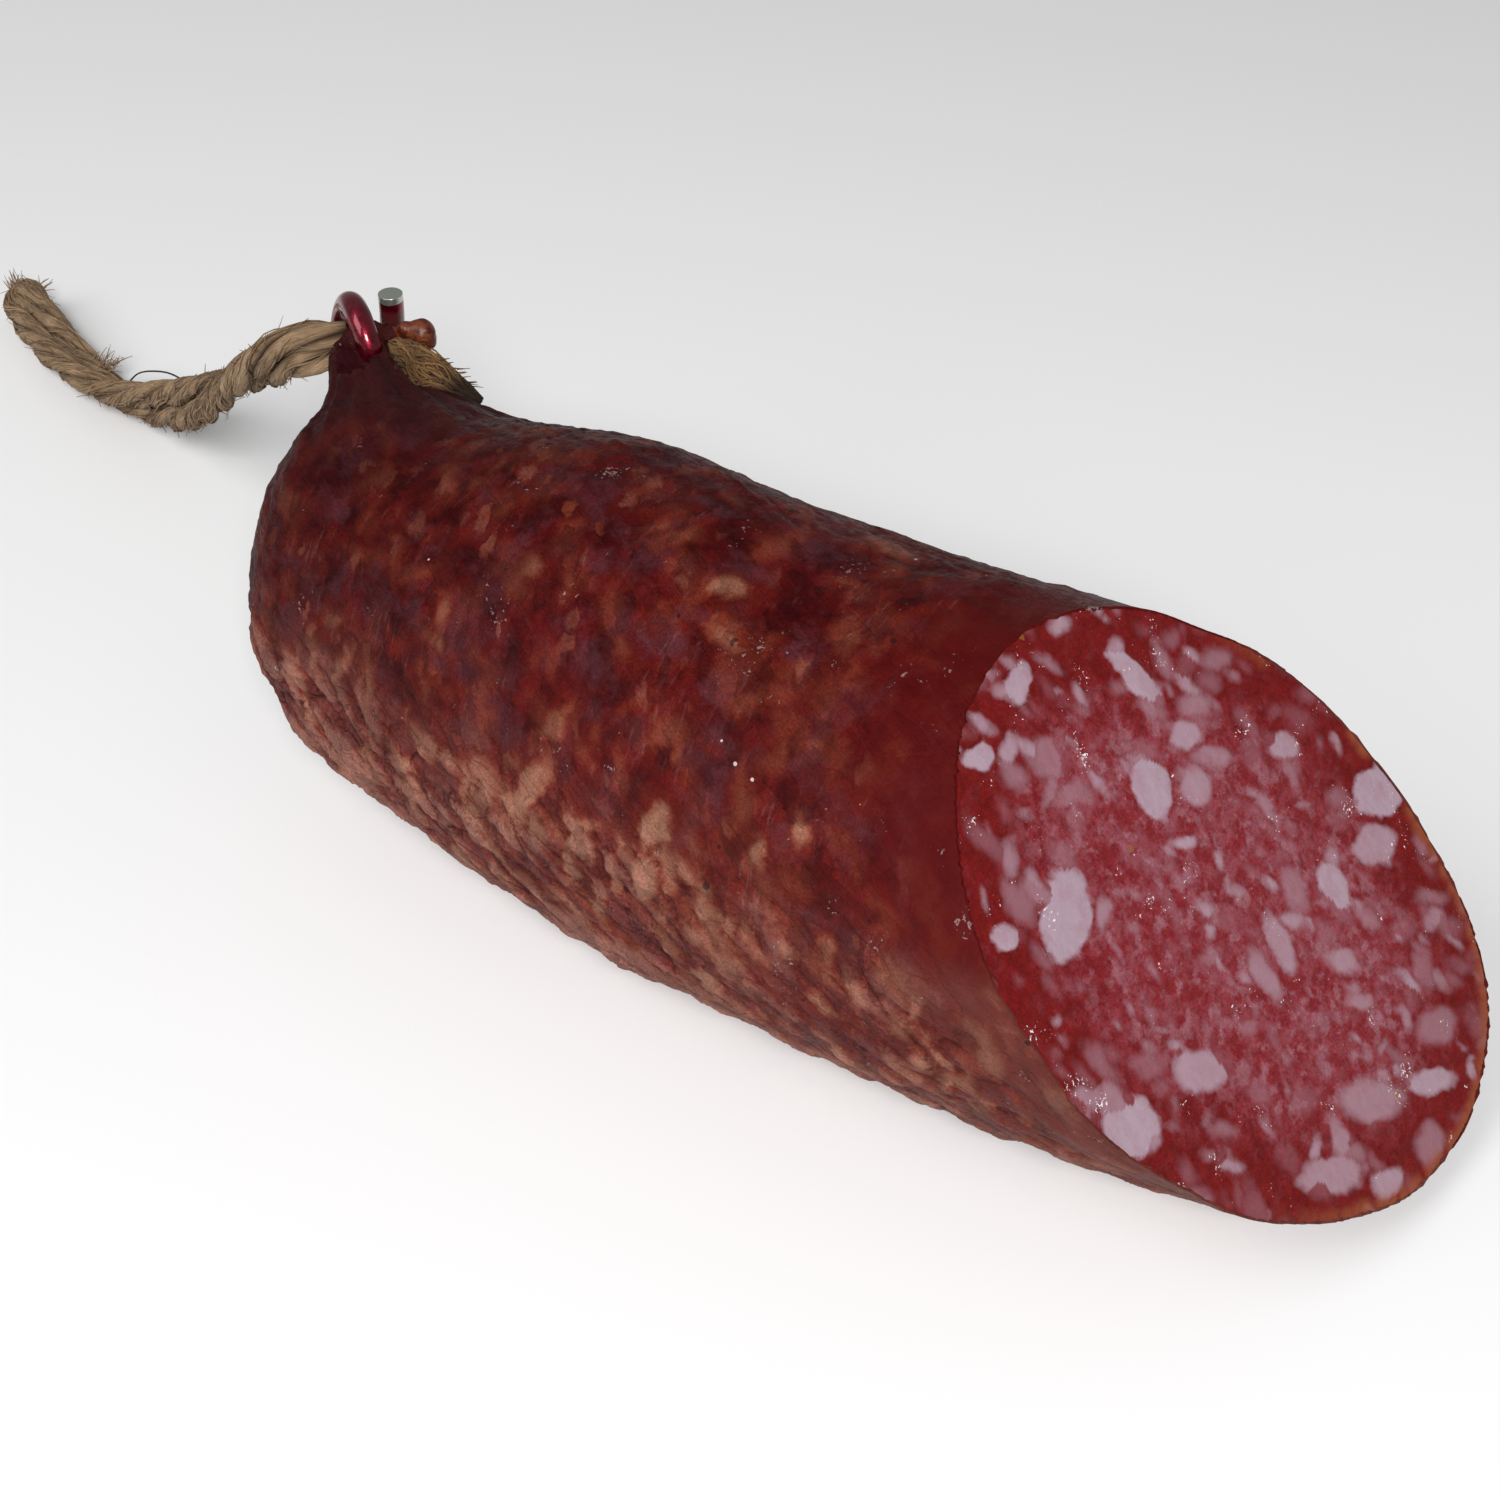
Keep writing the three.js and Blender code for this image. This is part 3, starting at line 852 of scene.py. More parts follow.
bpy.ops.mesh.extrude_region_move(TRANSFORM_OT_translate={"value": -BODY_HEADING * FACE_DEPTH * MM})
bpy.ops.transform.resize(value=[1 - FACE_TAPER * FACE_DEPTH] * 3)
bpy.ops.object.mode_set(mode="OBJECT")
pick(casing)
bpy.ops.object.shade_smooth_by_angle(angle=math.radians(38))


def fat_mask():
    """A group: where fat shows, from the distance to the nearest lump. Roughen gives
    the edge its ragged line, soft is the width over which it fades."""
    group, given, made = new_group(
        "fat_mask", {"Float": "Distance Roughen Grain Soft", "Vector": "Place"}, {"Float": "Mask"})
    wave = speckle(given["Place"], given["Grain"], 3.0, 0.6)
    edge = plus(given["Distance"], times(minus(wave, 0.5), given["Roughen"]))
    join(between(edge, times(given["Soft"], -1.0), given["Soft"], 1.0, 0.0), made["Mask"])
    return group


def flecks():
    """A group: small round spots, sown more thickly in some places than in others. Soft
    is the share of a spot over which it fades."""
    group, given, made = new_group(
        "flecks", {"Vector": "Place", "Float": "Spacing Size Sown Patch Soft"}, {"Float": "Mask"})
    cells = add("ShaderNodeTexVoronoi", Vector=given["Place"], Scale=given["Spacing"])
    chance = add("ShaderNodeSeparateColor", Color=cells["Color"])
    patch = speckle(given["Place"], given["Patch"], 1.0)
    there = maths("GREATER_THAN", plus(chance[0], minus(patch, 0.5)), given["Sown"])
    size = times(given["Size"], plus(0.4, chance[1]))
    spot = between(cells["Distance"], size, times(size, minus(1.0, given["Soft"])))
    join(times(there, spot), made["Mask"])
    return group


def flakes():
    """A group: broken bits of no set shape, in loose clusters."""
    group, given, made = new_group(
        "flakes", {"Vector": "Place", "Float": "Fineness Patch Limit"}, {"Float": "Mask"})
    bits = speckle(given["Place"], given["Fineness"], 3.0, 0.6, 0.4)
    there = plus(bits, minus(speckle(given["Place"], given["Patch"]), 0.5))
    join(between(there, given["Limit"], plus(given["Limit"], 0.03)), made["Mask"])
    return group


FAT_MASK, FLECKS, FLAKES = fat_mask(), flecks(), flakes()


def fat_shows(where, distance, roughen, grain, soft):
    """Where fat shows, within a distance of the lumps."""
    return add("ShaderNodeGroup", {"node_tree": FAT_MASK}, Distance=distance, Roughen=roughen,
               Grain=grain, Soft=soft, Place=where)[0]


def spots(where, spacing, size, sown, patch, soft=0.15):
    """Flecks of a size in cells, spacing in cells per millimetre."""
    return add("ShaderNodeGroup", {"node_tree": FLECKS}, Place=where, Spacing=spacing, Size=size,
               Sown=sown, Patch=patch, Soft=soft)[0]


def flaky(where, fineness, patch, limit):
    """Flakes and their clusters, in waves per millimetre."""
    return add("ShaderNodeGroup", {"node_tree": FLAKES}, Place=where, Fineness=fineness,
               Patch=patch, Limit=limit)[0]


def vectors(operation, first, second, **more):
    """One step of arithmetic between two vectors. Returns a vector and a value."""
    return add("ShaderNodeVectorMath", {"operation": operation}, i0=first, i1=second, **more)


def along_axis(where, axis):
    """One of three coordinates."""
    return add("ShaderNodeSeparateXYZ", Vector=where)[axis]


# Colours of the skin over lean, glowing and fat places, and of the sheen, bounce light, highlight and
# shade painted on it.
SKIN_DEEP = shade(0.028, 0.0012, 0.0019)
SKIN_RED = shade(0.066, 0.0030, 0.0031)
SKIN_GLOW = shade(0.096, 0.0084, 0.0045)
SKIN_PAINTED_SHEEN = shade(0.064, 0.0150, 0.0195)
SKIN_FAT_DIM = shade(0.146, 0.0285, 0.0138)
SKIN_FAT_PALE = shade(0.245, 0.112, 0.072)
SKIN_SMALL_FAT = shade(0.155, 0.046, 0.030)
SKIN_FLANK_BOUNCE = shade(0.128, 0.037, 0.031)
SKIN_FLANK_RIM_BOUNCE = shade(0.112, 0.027, 0.021)
SKIN_NECK = shade(0.029, 0.0050, 0.0062)
SKIN_RIM = shade(0.076, 0.0030, 0.0032)
SKIN_CREASE_SHADE = shade(0.020, 0.0022, 0.0026)
SKIN_AMBER = shade(0.33, 0.060, 0.015)
SKIN_TISSUE = shade(0.050, 0.0090, 0.0080)
SKIN_LIT_TAN = shade(0.215, 0.095, 0.072)
SKIN_SPECK = shade(0.50, 0.40, 0.38)
SKIN_STREAK_SHEEN = shade(0.135, 0.056, 0.056)
SKIN_PORE = shade(0.01, 0.006, 0.008)
SKIN_FLAKE_GLINT = shade(0.36, 0.24, 0.24)

casing_skin, tree, surface = shader("casing_skin")
here = millimetres(tree)
slant = place(tree, "ShaderNodeAttribute", {"attribute_name": "slanted"}).outputs["Vector"]
on_flank, distance, pale = [field(tree, name) for name in ("flank", "fat", "paleness")]
broad = speckle(here, 0.16, 3.0, 0.55)
middling = speckle(here, 0.33, 3.0, 0.5)
close = speckle(here, 1.6, 4.0, 0.65)

# Lean meat shows deep red through the skin and glows in places, and a lilac haze is painted sheen in
# places.
colour = blend(between(middling, 0.30, 0.62), SKIN_DEEP, SKIN_RED)
glow = times(between(broad, 0.46, 0.68), between(middling, 0.38, 0.62))
colour = blend(times(glow, 0.85), colour, SKIN_GLOW)
painted_sheen = speckle(shifted(here, Location=(40.0, 7.0, 3.0)), 0.22, 4.0, 0.65)
colour = blend(between(painted_sheen, 0.44, 0.68, 0.0, 0.9), colour, SKIN_PAINTED_SHEEN)
# The flank's lighter colour: partly its own fatty tone, partly painted reflection of the pale table.
colour = blend(times(on_flank, between(close, 0.25, 0.7, 0.3, 0.9)), colour, SKIN_FLANK_BOUNCE)

# Each lump of fat has a glow round it, and is palest at its heart.
halo = fat_shows(here, minus(distance, 0.8), roughen=1.6, grain=0.8, soft=0.9)
colour = blend(times(halo, times(pale, 0.8)), colour, SKIN_GLOW)
patch = fat_shows(here, distance, roughen=0.7, grain=1.1, soft=between(pale, 0.2, 0.9, 0.8, 0.4))
core = between(distance, 0.35, -0.8, 0.55, 1.12)
milkiness = times(plus(pale, times(on_flank, 0.2)), core)
fat_tone = blend(between(milkiness, 0.25, 1.05), SKIN_FAT_DIM, SKIN_FAT_PALE)
fat_tone = blend(between(close, 0.4, 0.75, 0.0, 0.25), fat_tone, SKIN_GLOW)
colour = blend(times(patch, between(pale, 0.05, 0.8, 0.35, 0.9)), colour, fat_tone)

# Small fat is drawn out at the wrinkles' slant. Fine streaks run along and round, with painted sheen on
# the raised ones and painted shade on the low ones.
sway = add("ShaderNodeTexNoise", Vector=slant, Scale=0.7, Detail=3.0)["Color"]
bent = vectors("MULTIPLY_ADD", sway, (2.4, 2.4, 2.4), i2=slant)[0]
small_place = shifted(bent, Scale=(1.0, 0.62, 0.62))
small_fat = spots(small_place, 0.42, 0.40, 0.60, 0.1, 0.55)
small_tone = blend(between(middling, 0.4, 0.6), SKIN_FAT_DIM, SKIN_SMALL_FAT)
colour = blend(times(small_fat, between(broad, 0.3, 0.6, 0.25, 0.75)), colour, small_tone)
streak = speckle(shifted(slant, Scale=(0.12, 0.9, 0.9)), 2.2, 4.0, 0.7)
ringed = speckle(shifted(here, Scale=(1.0, 0.14, 0.14)), 2.0, 4.0, 0.7)
sheen_streak = times(between(streak, 0.54, 0.72), plus(times(on_flank, 0.45), 0.08))
ring_sheen = times(between(ringed, 0.54, 0.72), between(broad, 0.48, 0.62, 0.0, 0.5))
colour = blend(maths("MAXIMUM", sheen_streak, ring_sheen), colour, SKIN_STREAK_SHEEN)
colour = blend(times(between(streak, 0.44, 0.3), 0.35), colour, SKIN_CREASE_SHADE)

# Painted highlight: what stands proud is painted a lighter tan, and so is the skin low down, as painted
# light bounced from the pale table. Hollows get painted shade.
raised = field(tree, "crease")
painted_light = times(between(plus(raised, times(close, 0.3)), 0.70, 1.10), times(on_flank, 0.7))
low_bounce = between(along_axis(here, 2), 17.0, 6.0, 0.0, 0.48)
painted_light = plus(painted_light, times(low_bounce, between(close, 0.3, 0.7, 0.4, 1.2)))
colour = blend(painted_light, colour, SKIN_LIT_TAN)
colour = blend(between(raised, 0.38, 0.05, 0.0, 0.4), colour, SKIN_CREASE_SHADE)

# Creases between the folds get thin lines of painted shade, and each granule of the meat has its tone.
deep_line, thin_line = [between(maths("ABSOLUTE", field(tree, name)), width, 0.0)
                        for name, width in (("fold", 0.075), ("small_fold", 0.11))]
crease_shade = maths("MAXIMUM", deep_line, times(thin_line, 0.6))
crease_shade = times(crease_shade, plus(times(on_flank, 0.6), 0.14))
crease_shade = times(crease_shade, between(close, 0.3, 0.6, 0.25, 1.0))
crease_shade = times(crease_shade, minus(1.0, times(patch, times(pale, 0.75))))
colour = blend(crease_shade, colour, SKIN_CREASE_SHADE)
granules = add("ShaderNodeTexVoronoi", Vector=small_place, Scale=0.62)
granule = add("ShaderNodeSeparateColor", Color=granules["Color"])[0]
colour = tinted(colour, granule, 0.0, 1.0, 0.80, 1.22)
colour = tinted(colour, speckle(here, 4.5, 4.0, 0.7), 0.3, 0.7, 0.74, 1.28)

# The skin is painted darker towards the tied end, as painted shade, and plain and
# dark red next to the cut.
left_end_shade = between(along_axis(here, 0), -52.0, 10.0, 0.72, 1.07)
colour = blend(minus(1.0, on_flank), colour, left_end_shade, "MULTIPLY")
past_cut = vectors("DOT_PRODUCT", vectors("SUBTRACT", here, tuple(CUT_PLACE))[0], tuple(CUT_FACING))
near_cut = between(plus(past_cut["Value"], times(middling, 4.0)), -9.0, 0.5)
rim_tone = blend(between(middling, 0.4, 0.75, 0.0, 0.5), SKIN_RIM, SKIN_GLOW)
# Next to the cut the flank gets a lighter colour, partly painted reflection of the pale table.
rim_tone = blend(between(on_flank, 0.1, 0.5), rim_tone, SKIN_FLANK_RIM_BOUNCE)
colour = blend(times(near_cut, between(on_flank, 0.1, 0.6, 0.85, 0.6)), colour, rim_tone)

# The gathered neck is dark, its end clear amber, dust lies all over, and pale dry flakes are partly
# painted glints.
colour = blend(times(field(tree, "gather"), 0.75), colour, SKIN_NECK)
to_knob = vectors("DISTANCE", here, tuple(KNOB_PLACE))["Value"]
colour = blend(between(to_knob, 8.0, 5.5), colour, SKIN_TISSUE)
colour = blend(between(to_knob, 2.6, 1.7), colour, SKIN_AMBER)
pores = spots(shifted(here, Location=(9.0, 4.0, 2.0)), 0.33, 0.14, 0.9, 0.3)
flakes_and_glints = flaky(here, 2.4, 0.2, 0.795)
colour = blend(times(pores, 0.7), colour, SKIN_PORE)
colour = blend(times(flakes_and_glints, 0.55), colour, SKIN_FLAKE_GLINT)
colour = blend(spots(here, 0.5, 0.075, 1.02, 0.3), colour, SKIN_SPECK)

gloss = plus(between(close, 0.25, 0.75, 0.32, 0.52), times(on_flank, 0.1))
fine = plus(times(close, 0.5), times(streak, 0.8))
fine = plus(fine, minus(times(flakes_and_glints, 0.35), times(crease_shade, 1.6)))
fine = minus(fine, times(granules["Distance"], 0.7))
coat(surface, fine, 0.75, 0.00025, Base_Color=colour, Roughness=gloss, Specular_IOR_Level=0.05)
casing.data.materials.append(casing_skin)
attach(casing, "root")
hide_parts("sausage")

# ---- the casing's knob --------------------------------------------------------------
# Past the clip the casing's own end has dried to a hard, clear amber knob on a short
# stem, with a smaller lump beside it.

# Each ball of it: millimetres along the stem, millimetres up, radius.
KNOB_BALLS = [
    (0.35, -0.1, 1.4), (-0.1, 0.1, 1.2), (-1.35, 0.35, 0.98), (-2.5, 0.25, 0.72), (0.75, -1.0, 1.1),
]
KNOB_GRAIN = 0.12
KNOB_BUMPS = 0.12
KNOB_DARK = shade(0.060, 0.0085, 0.0035)
KNOB_LIGHT = shade(0.155, 0.038, 0.015)
KNOB_UNDER_SHADE = shade(0.085, 0.008, 0.004)

knob_parts = []
for along, above, size in KNOB_BALLS:
    at = KNOB_PLACE + stem_way * along + np.array([0, 0, above])
    bpy.ops.mesh.primitive_uv_sphere_add(segments=24, ring_count=16, radius=size * MM, location=at * MM)
    knob_parts.append(bpy.context.object)
for part in knob_parts:
    part.select_set(True)
bpy.ops.object.join()
knob = bpy.context.object
knob.name = "casing_knob"
bpy.ops.object.transform_apply(location=True, rotation=True, scale=True)
apply_modifier(knob, "REMESH", mode="VOXEL", voxel_size=KNOB_GRAIN * MM)
apply_modifier(knob, "SMOOTH", factor=0.5, iterations=8)
knob_points = points_of(knob.data)
bumps = KNOB_BUMPS * waves(knob_points, (0.8, 0.8, 0.8), 3.0, 2)
move_points(knob.data, knob_points + facings_of(knob.data) * bumps[:, None])
bpy.ops.object.shade_smooth()

dried_end, tree, surface = shader("dried_end")
here = millimetres(tree)
cloud = speckle(here, 0.7, 3.0, 0.6)
colour = blend(between(cloud, 0.38, 0.62), KNOB_DARK, KNOB_LIGHT)
# Painted shade: the knob is darker towards its underside.
colour = blend(between(along_axis(here, 2), 39.2, 37.9, 0.0, 0.6), colour, KNOB_UNDER_SHADE)
coat(surface, speckle(here, 3.0, 3.0, 0.6), 0.5, 0.0001, Base_Color=colour,
     Roughness=between(cloud, 0.3, 0.7, 0.25, 0.4), Specular_IOR_Level=0.3,
     Subsurface_Weight=0.2, Subsurface_Radius=(1.0, 0.3, 0.1), Subsurface_Scale=0.0006)
knob.data.materials.append(dried_end)
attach(knob, "root")

# ---- the cut face -------------------------------------------------------------------
# Coarse cured meat, deep red where it's lean and set with crisp lumps of back fat. It's
# freshly cut, so it's moist, and the harder fat stands a trace proud of the lean.

FACE_SIZE = (54, 75)         # of the sheet that the meat is trimmed from
FACE_POINTS = (216, 300)
FACE_LUMPS = 520
FACE_FAT_PROUD = 0.07
FACE_GRAIN_HEIGHT = 0.05
FACE_UNEVEN = 0.1
PLUG_PAST, PLUG_DEPTH = 2, 3     # how far the plug reaches out of the cut and into it
FACE_ACROSS = np.array([0.144, 1.0, 0.0]) / np.linalg.norm([0.144, 1.0, 0.0])
FACE_UP = np.cross(CUT_FACING, FACE_ACROSS)
# Millimetres across to the far side and up the face, half length, half width, turn,
# paleness. All but the paleness is rounded from what a separate projecting program printed.
FACE_FAT = [
    (-15.5, 10.5, 3.9, 2.5, 42, 1.0), (4.0, 22.5, 3.2, 1.3, 112, 1.0),
    (-7.5, 28.0, 2.1, 1.3, 34, 0.85), (-15.0, 25.0, 1.5, 1.2, 0, 0.95),
    (-12.0, 24.0, 1.4, 0.9, 38, 0.7), (-9.0, 21.5, 2.1, 1.7, 172, 0.5),
    (-0.5, 14.0, 2.7, 2.1, 70, 0.95), (4.0, 11.5, 2.1, 1.5, 163, 0.65),
    (-12.0, 8.5, 1.3, 0.8, 43, 0.6), (-22.0, 12.5, 1.4, 1.1, 12, 0.9),
    (-20.5, -6.5, 3.2, 2.4, 156, 0.9), (-16.0, -3.5, 1.9, 1.1, 152, 0.4),
    (-11.5, -7.0, 2.9, 1.9, 155, 0.7), (12.5, -3.5, 2.5, 1.7, 78, 0.8),
    (8.0, -1.5, 2.3, 1.3, 92, 0.5), (3.5, -4.0, 2.7, 1.3, 92, 0.65),
    (0.0, -5.0, 2.4, 1.1, 90, 0.6), (19.5, -3.5, 3.0, 1.6, 155, 0.7),
    (23.5, 0.0, 3.4, 2.4, 171, 0.9), (15.5, 9.0, 2.1, 1.2, 159, 0.7),
    (6.0, 15.5, 1.8, 1.2, 164, 0.7), (8.5, 17.0, 1.8, 1.0, 159, 0.55),
    (13.5, 19.0, 1.9, 0.9, 156, 0.5), (10.0, 23.0, 1.2, 0.8, 167, 0.4),
    (11.5, 18.0, 1.2, 0.9, 165, 0.4), (7.5, 12.5, 2.3, 0.7, 152, 0.6),
    (11.0, -23.0, 3.2, 1.1, 148, 0.75), (3.5, -20.0, 3.9, 1.9, 149, 0.6),
    (-5.0, -22.0, 3.8, 1.5, 147, 0.65), (0.5, -26.5, 2.0, 1.2, 152, 0.7),
    (7.0, -27.0, 2.0, 1.5, 179, 0.5), (-1.5, -22.5, 1.4, 0.9, 150, 0.5),
    (15.0, -20.0, 2.5, 1.6, 155, 0.5), (8.0, -13.0, 1.6, 0.8, 151, 0.6),
    (22.5, -11.0, 1.7, 0.7, 152, 0.5), (-23.0, -2.0, 1.6, 1.1, 154, 0.6),
    (-0.5, 8.5, 1.3, 0.6, 153, 0.8), (-0.5, 29.5, 1.2, 0.7, 160, 0.7),
]
bpy.ops.object.select_all(action="DESELECT")
bpy.ops.mesh.primitive_grid_add(x_subdivisions=FACE_POINTS[0], y_subdivisions=FACE_POINTS[1], size=1.0)
meat = bpy.context.object
meat.name = "meat"
bpy.ops.object.mode_set(mode="EDIT")
bpy.ops.transform.resize(value=(FACE_SIZE[0] * MM, FACE_SIZE[1] * MM, 1.0))
bpy.ops.mesh.select_all(action="DESELECT")
bpy.ops.object.mode_set(mode="OBJECT")
flat = points_of(meat.data)
middle = CUT_PLACE + FACE_UP * 1.5
move_points(meat.data, middle + flat[:, :1] * FACE_ACROSS + flat[:, 1:2] * FACE_UP)
bpy.ops.object.mode_set(mode="EDIT")
bpy.ops.mesh.select_mode(type="EDGE")
bpy.ops.mesh.select_non_manifold()
bpy.ops.mesh.extrude_edges_move(
    TRANSFORM_OT_translate={"value": -BODY_HEADING * (FACE_DEPTH - 0.05) * MM})
bpy.ops.mesh.edge_face_add()
bpy.ops.mesh.select_mode(type="VERT")
bpy.ops.mesh.select_all(action="SELECT")
bpy.ops.mesh.normals_make_consistent(inside=False)
bpy.ops.object.mode_set(mode="OBJECT")

pick(plug)
bpy.ops.object.mode_set(mode="EDIT")
bpy.ops.mesh.select_all(action="SELECT")
bpy.ops.transform.translate(value=BODY_HEADING * PLUG_PAST * MM)
bpy.ops.transform.resize(value=[1 + FACE_TAPER * PLUG_PAST] * 3)
bpy.ops.mesh.extrude_region_move(
    TRANSFORM_OT_translate={"value": -BODY_HEADING * (PLUG_PAST + PLUG_DEPTH) * MM})
bpy.ops.transform.resize(value=[(1 - FACE_TAPER * PLUG_DEPTH) / (1 + FACE_TAPER * PLUG_PAST)] * 3)
bpy.ops.mesh.select_all(action="SELECT")
bpy.ops.mesh.normals_make_consistent(inside=False)
bpy.ops.object.mode_set(mode="OBJECT")
pick(meat)
apply_modifier(meat, "BOOLEAN", operation="INTERSECT", solver="MANIFOLD", object=plug)
bpy.data.objects.remove(plug)

spot = points_of(meat.data)
on_face = np.abs((spot - CUT_PLACE) @ CUT_FACING) < 0.01
skin_points = points_of(casing.data)
rim_tree = search_tree(skin_points[np.abs((skin_points - CUT_PLACE) @ CUT_FACING) < 0.01])
from_rim = np.array([rim_tree.find(p)[2] for p in spot.tolist()])


def face_lump(across, up, half_length, half_width, turn, pale):
    """A lump of fat that the cut goes through."""
    return turned_lump(CUT_PLACE + FACE_ACROSS * across + FACE_UP * up, FACE_ACROSS, FACE_UP,
                       CUT_FACING, (half_length, half_width, 1.6), turn, pale)


rng = random.Random(23)
lumps = [face_lump(*lump) for lump in FACE_FAT]
for i in range(FACE_LUMPS):
    half = 0.28 + 1.0 * rng.random() ** 3
    lumps.append(face_lump(rng.uniform(-27, 27), rng.uniform(-35, 32), half * rng.uniform(1.0, 2.0),
                           half * rng.uniform(0.6, 1.0), rng.gauss(118, 30), rng.uniform(0.15, 0.7)))
fat, paleness = fat_fields(spot, lumps, 0.62)
grain = waves(spot, (1.5, 1.5, 1.5), 3.0, 2)
height = FACE_FAT_PROUD * (1 - soft_step(fat, -0.3, 0.15)) * paleness + FACE_GRAIN_HEIGHT * grain
height += FACE_UNEVEN * waves(spot, (0.18, 0.18, 0.18), 5.0)
height *= soft_step(from_rim, 0.3, 1.2)
spot[on_face] += CUT_FACING * height[on_face, None]
move_points(meat.data, spot)
for name, values in (("fat", fat), ("paleness", paleness), ("rim", from_rim)):
    save_field(meat.data, name, values)
bpy.ops.object.shade_smooth_by_angle(angle=math.radians(50))

LEAN_DEEP = shade(0.103, 0.0045, 0.0056)
LEAN_RED = shade(0.162, 0.0082, 0.0098)
LEAN_CORE = shade(0.200, 0.0150, 0.0190)
LEAN_PINK = shade(0.232, 0.058, 0.074)
LEAN_MILKY = shade(0.285, 0.120, 0.146)
LEAN_RIM = shade(0.138, 0.0062, 0.0055)
FAT_WHITE = shade(0.375, 0.270, 0.322)
FAT_VEILED = shade(0.29, 0.128, 0.158)
MEAT_EDGE = shade(0.27, 0.070, 0.028)
MUSTARD = shade(0.25, 0.11, 0.03)
GLINT = shade(0.75, 0.68, 0.70)
cut_meat, tree, surface = shader("cut_meat")
here = millimetres(tree)
rim_share, distance, pale = [field(tree, name) for name in ("rim", "fat", "paleness")]
broad = speckle(here, 0.14, 3.0, 0.6)
middling = speckle(here, 0.55, 4.0, 0.6)
close = speckle(here, 2.0, 4.0, 0.6)

# Lean meat is dark red at the rim and pinker inside, with milky smears of fine fat.
inside = between(plus(rim_share, times(broad, 9.0)), 7.5, 18.0)
colour = blend(between(middling, 0.32, 0.62), LEAN_DEEP, LEAN_RED)
colour = blend(times(minus(1.0, inside), 0.6), colour, LEAN_RIM)
colour = blend(times(inside, 0.8), colour, LEAN_CORE)
mottle = plus(times(close, 0.35), times(middling, 0.65))
colour = blend(times(between(mottle, 0.42, 0.62, 0.05, 0.75), inside), colour, LEAN_PINK)
milky = speckle(shifted(here, Location=(15.0, 3.0, 8.0)), 0.6, 5.0, 0.62)
milky = times(between(milky, 0.50, 0.64, 0.0, 0.65), plus(times(inside, 0.92), 0.08))
colour = blend(milky, colour, LEAN_MILKY)
colour = tinted(colour, speckle(here, 5.0, 4.0, 0.75), 0.3, 0.7, 0.76, 1.26)
colour = tinted(colour, speckle(here, 1.1, 5.0, 0.7, 0.8), 0.34, 0.62, 0.84, 1.09)

# Fat is crisp and white where it's thick, and veiled where the lean shows through it.
mask = fat_shows(here, distance, roughen=0.38, grain=1.5, soft=between(pale, 0.3, 0.95, 0.62, 0.2))
fat_tone = blend(between(pale, 0.3, 0.9), FAT_VEILED, FAT_WHITE)
fat_tone = blend(between(middling, 0.4, 0.7, 0.0, 0.3), fat_tone, FAT_VEILED)
colour = blend(times(mask, between(pale, 0.1, 0.8, 0.30, 0.97)), colour, fat_tone)

# Mustard seed, wet glints, and a dried edge on the far and lower side.
colour = blend(times(spots(here, 0.16, 0.075, 0.62, 0.1), 0.6), colour, MUSTARD)
colour = blend(flaky(here, 3.6, 0.3, 0.81), colour, GLINT)
far_or_low = between(minus(along_axis(here, 1), along_axis(here, 2)), -26.0, -6.0)
edge = between(plus(rim_share, times(middling, 1.6)), 2.3, 0.9)
colour = blend(times(edge, times(far_or_low, 0.75)), colour, MEAT_EDGE)
coat(surface, plus(close, times(mask, 0.3)), 0.5, 0.00012, Base_Color=colour,
     Roughness=between(close, 0.3, 0.7, 0.24, 0.5), Specular_IOR_Level=0.12,
     Subsurface_Weight=0.15, Subsurface_Radius=(1.0, 0.35, 0.3), Subsurface_Scale=0.0008)
meat.data.materials.clear()
meat.data.materials.append(cut_meat)
meat.data.polygons.foreach_set("material_index", [0] * len(meat.data.polygons))
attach(meat, "root")

# ---- the clip -----------------------------------------------------------------------
# Round aluminium wire with a clear crimson lacquer, bent once round the gathered
# casing and the twine and cut off square. Its cut end is bare metal.

BARE_END = 0.58              # the lacquer stops about this far below the cut end
POST_REACH = 2.0             # what lies this near to the straight end's line is on it
LACQUER_DARK = shade(0.12, 0.0012, 0.009)
LACQUER_LIGHT = shade(0.25, 0.0045, 0.024)
SKIN_ON_WIRE = shade(0.062, 0.014, 0.012)
BARE_METAL = shade(0.47, 0.49, 0.44)

bend = bpy.data.curves.new("clip_wire", "CURVE")
bend.dimensions = "3D"
bend.bevel_depth = WIRE_RADIUS * MM
bend.bevel_resolution = 8
bend.use_fill_caps = True
spline = bend.splines.new("POLY")
spline.points.add(len(wire) - 1)
for point, at in zip(spline.points, wire):
    point.co = (*(at * MM), 1.0)
clip = bpy.data.objects.new("clip_wire", bend)
bpy.context.scene.collection.objects.link(clip)
pick(clip)
bpy.ops.object.convert(target="MESH")
clip = bpy.context.object
bpy.ops.object.mode_set(mode="EDIT")
bpy.ops.mesh.select_all(action="SELECT")
bpy.ops.mesh.remove_doubles(threshold=0.000001)
bpy.ops.mesh.normals_make_consistent(inside=False)
bpy.ops.object.mode_set(mode="OBJECT")
apply_modifier(clip, "BEVEL", width=0.16 * MM, segments=3, limit_method="ANGLE",
               angle_limit=math.radians(60))
bpy.ops.object.shade_smooth_by_angle(angle=math.radians(50))

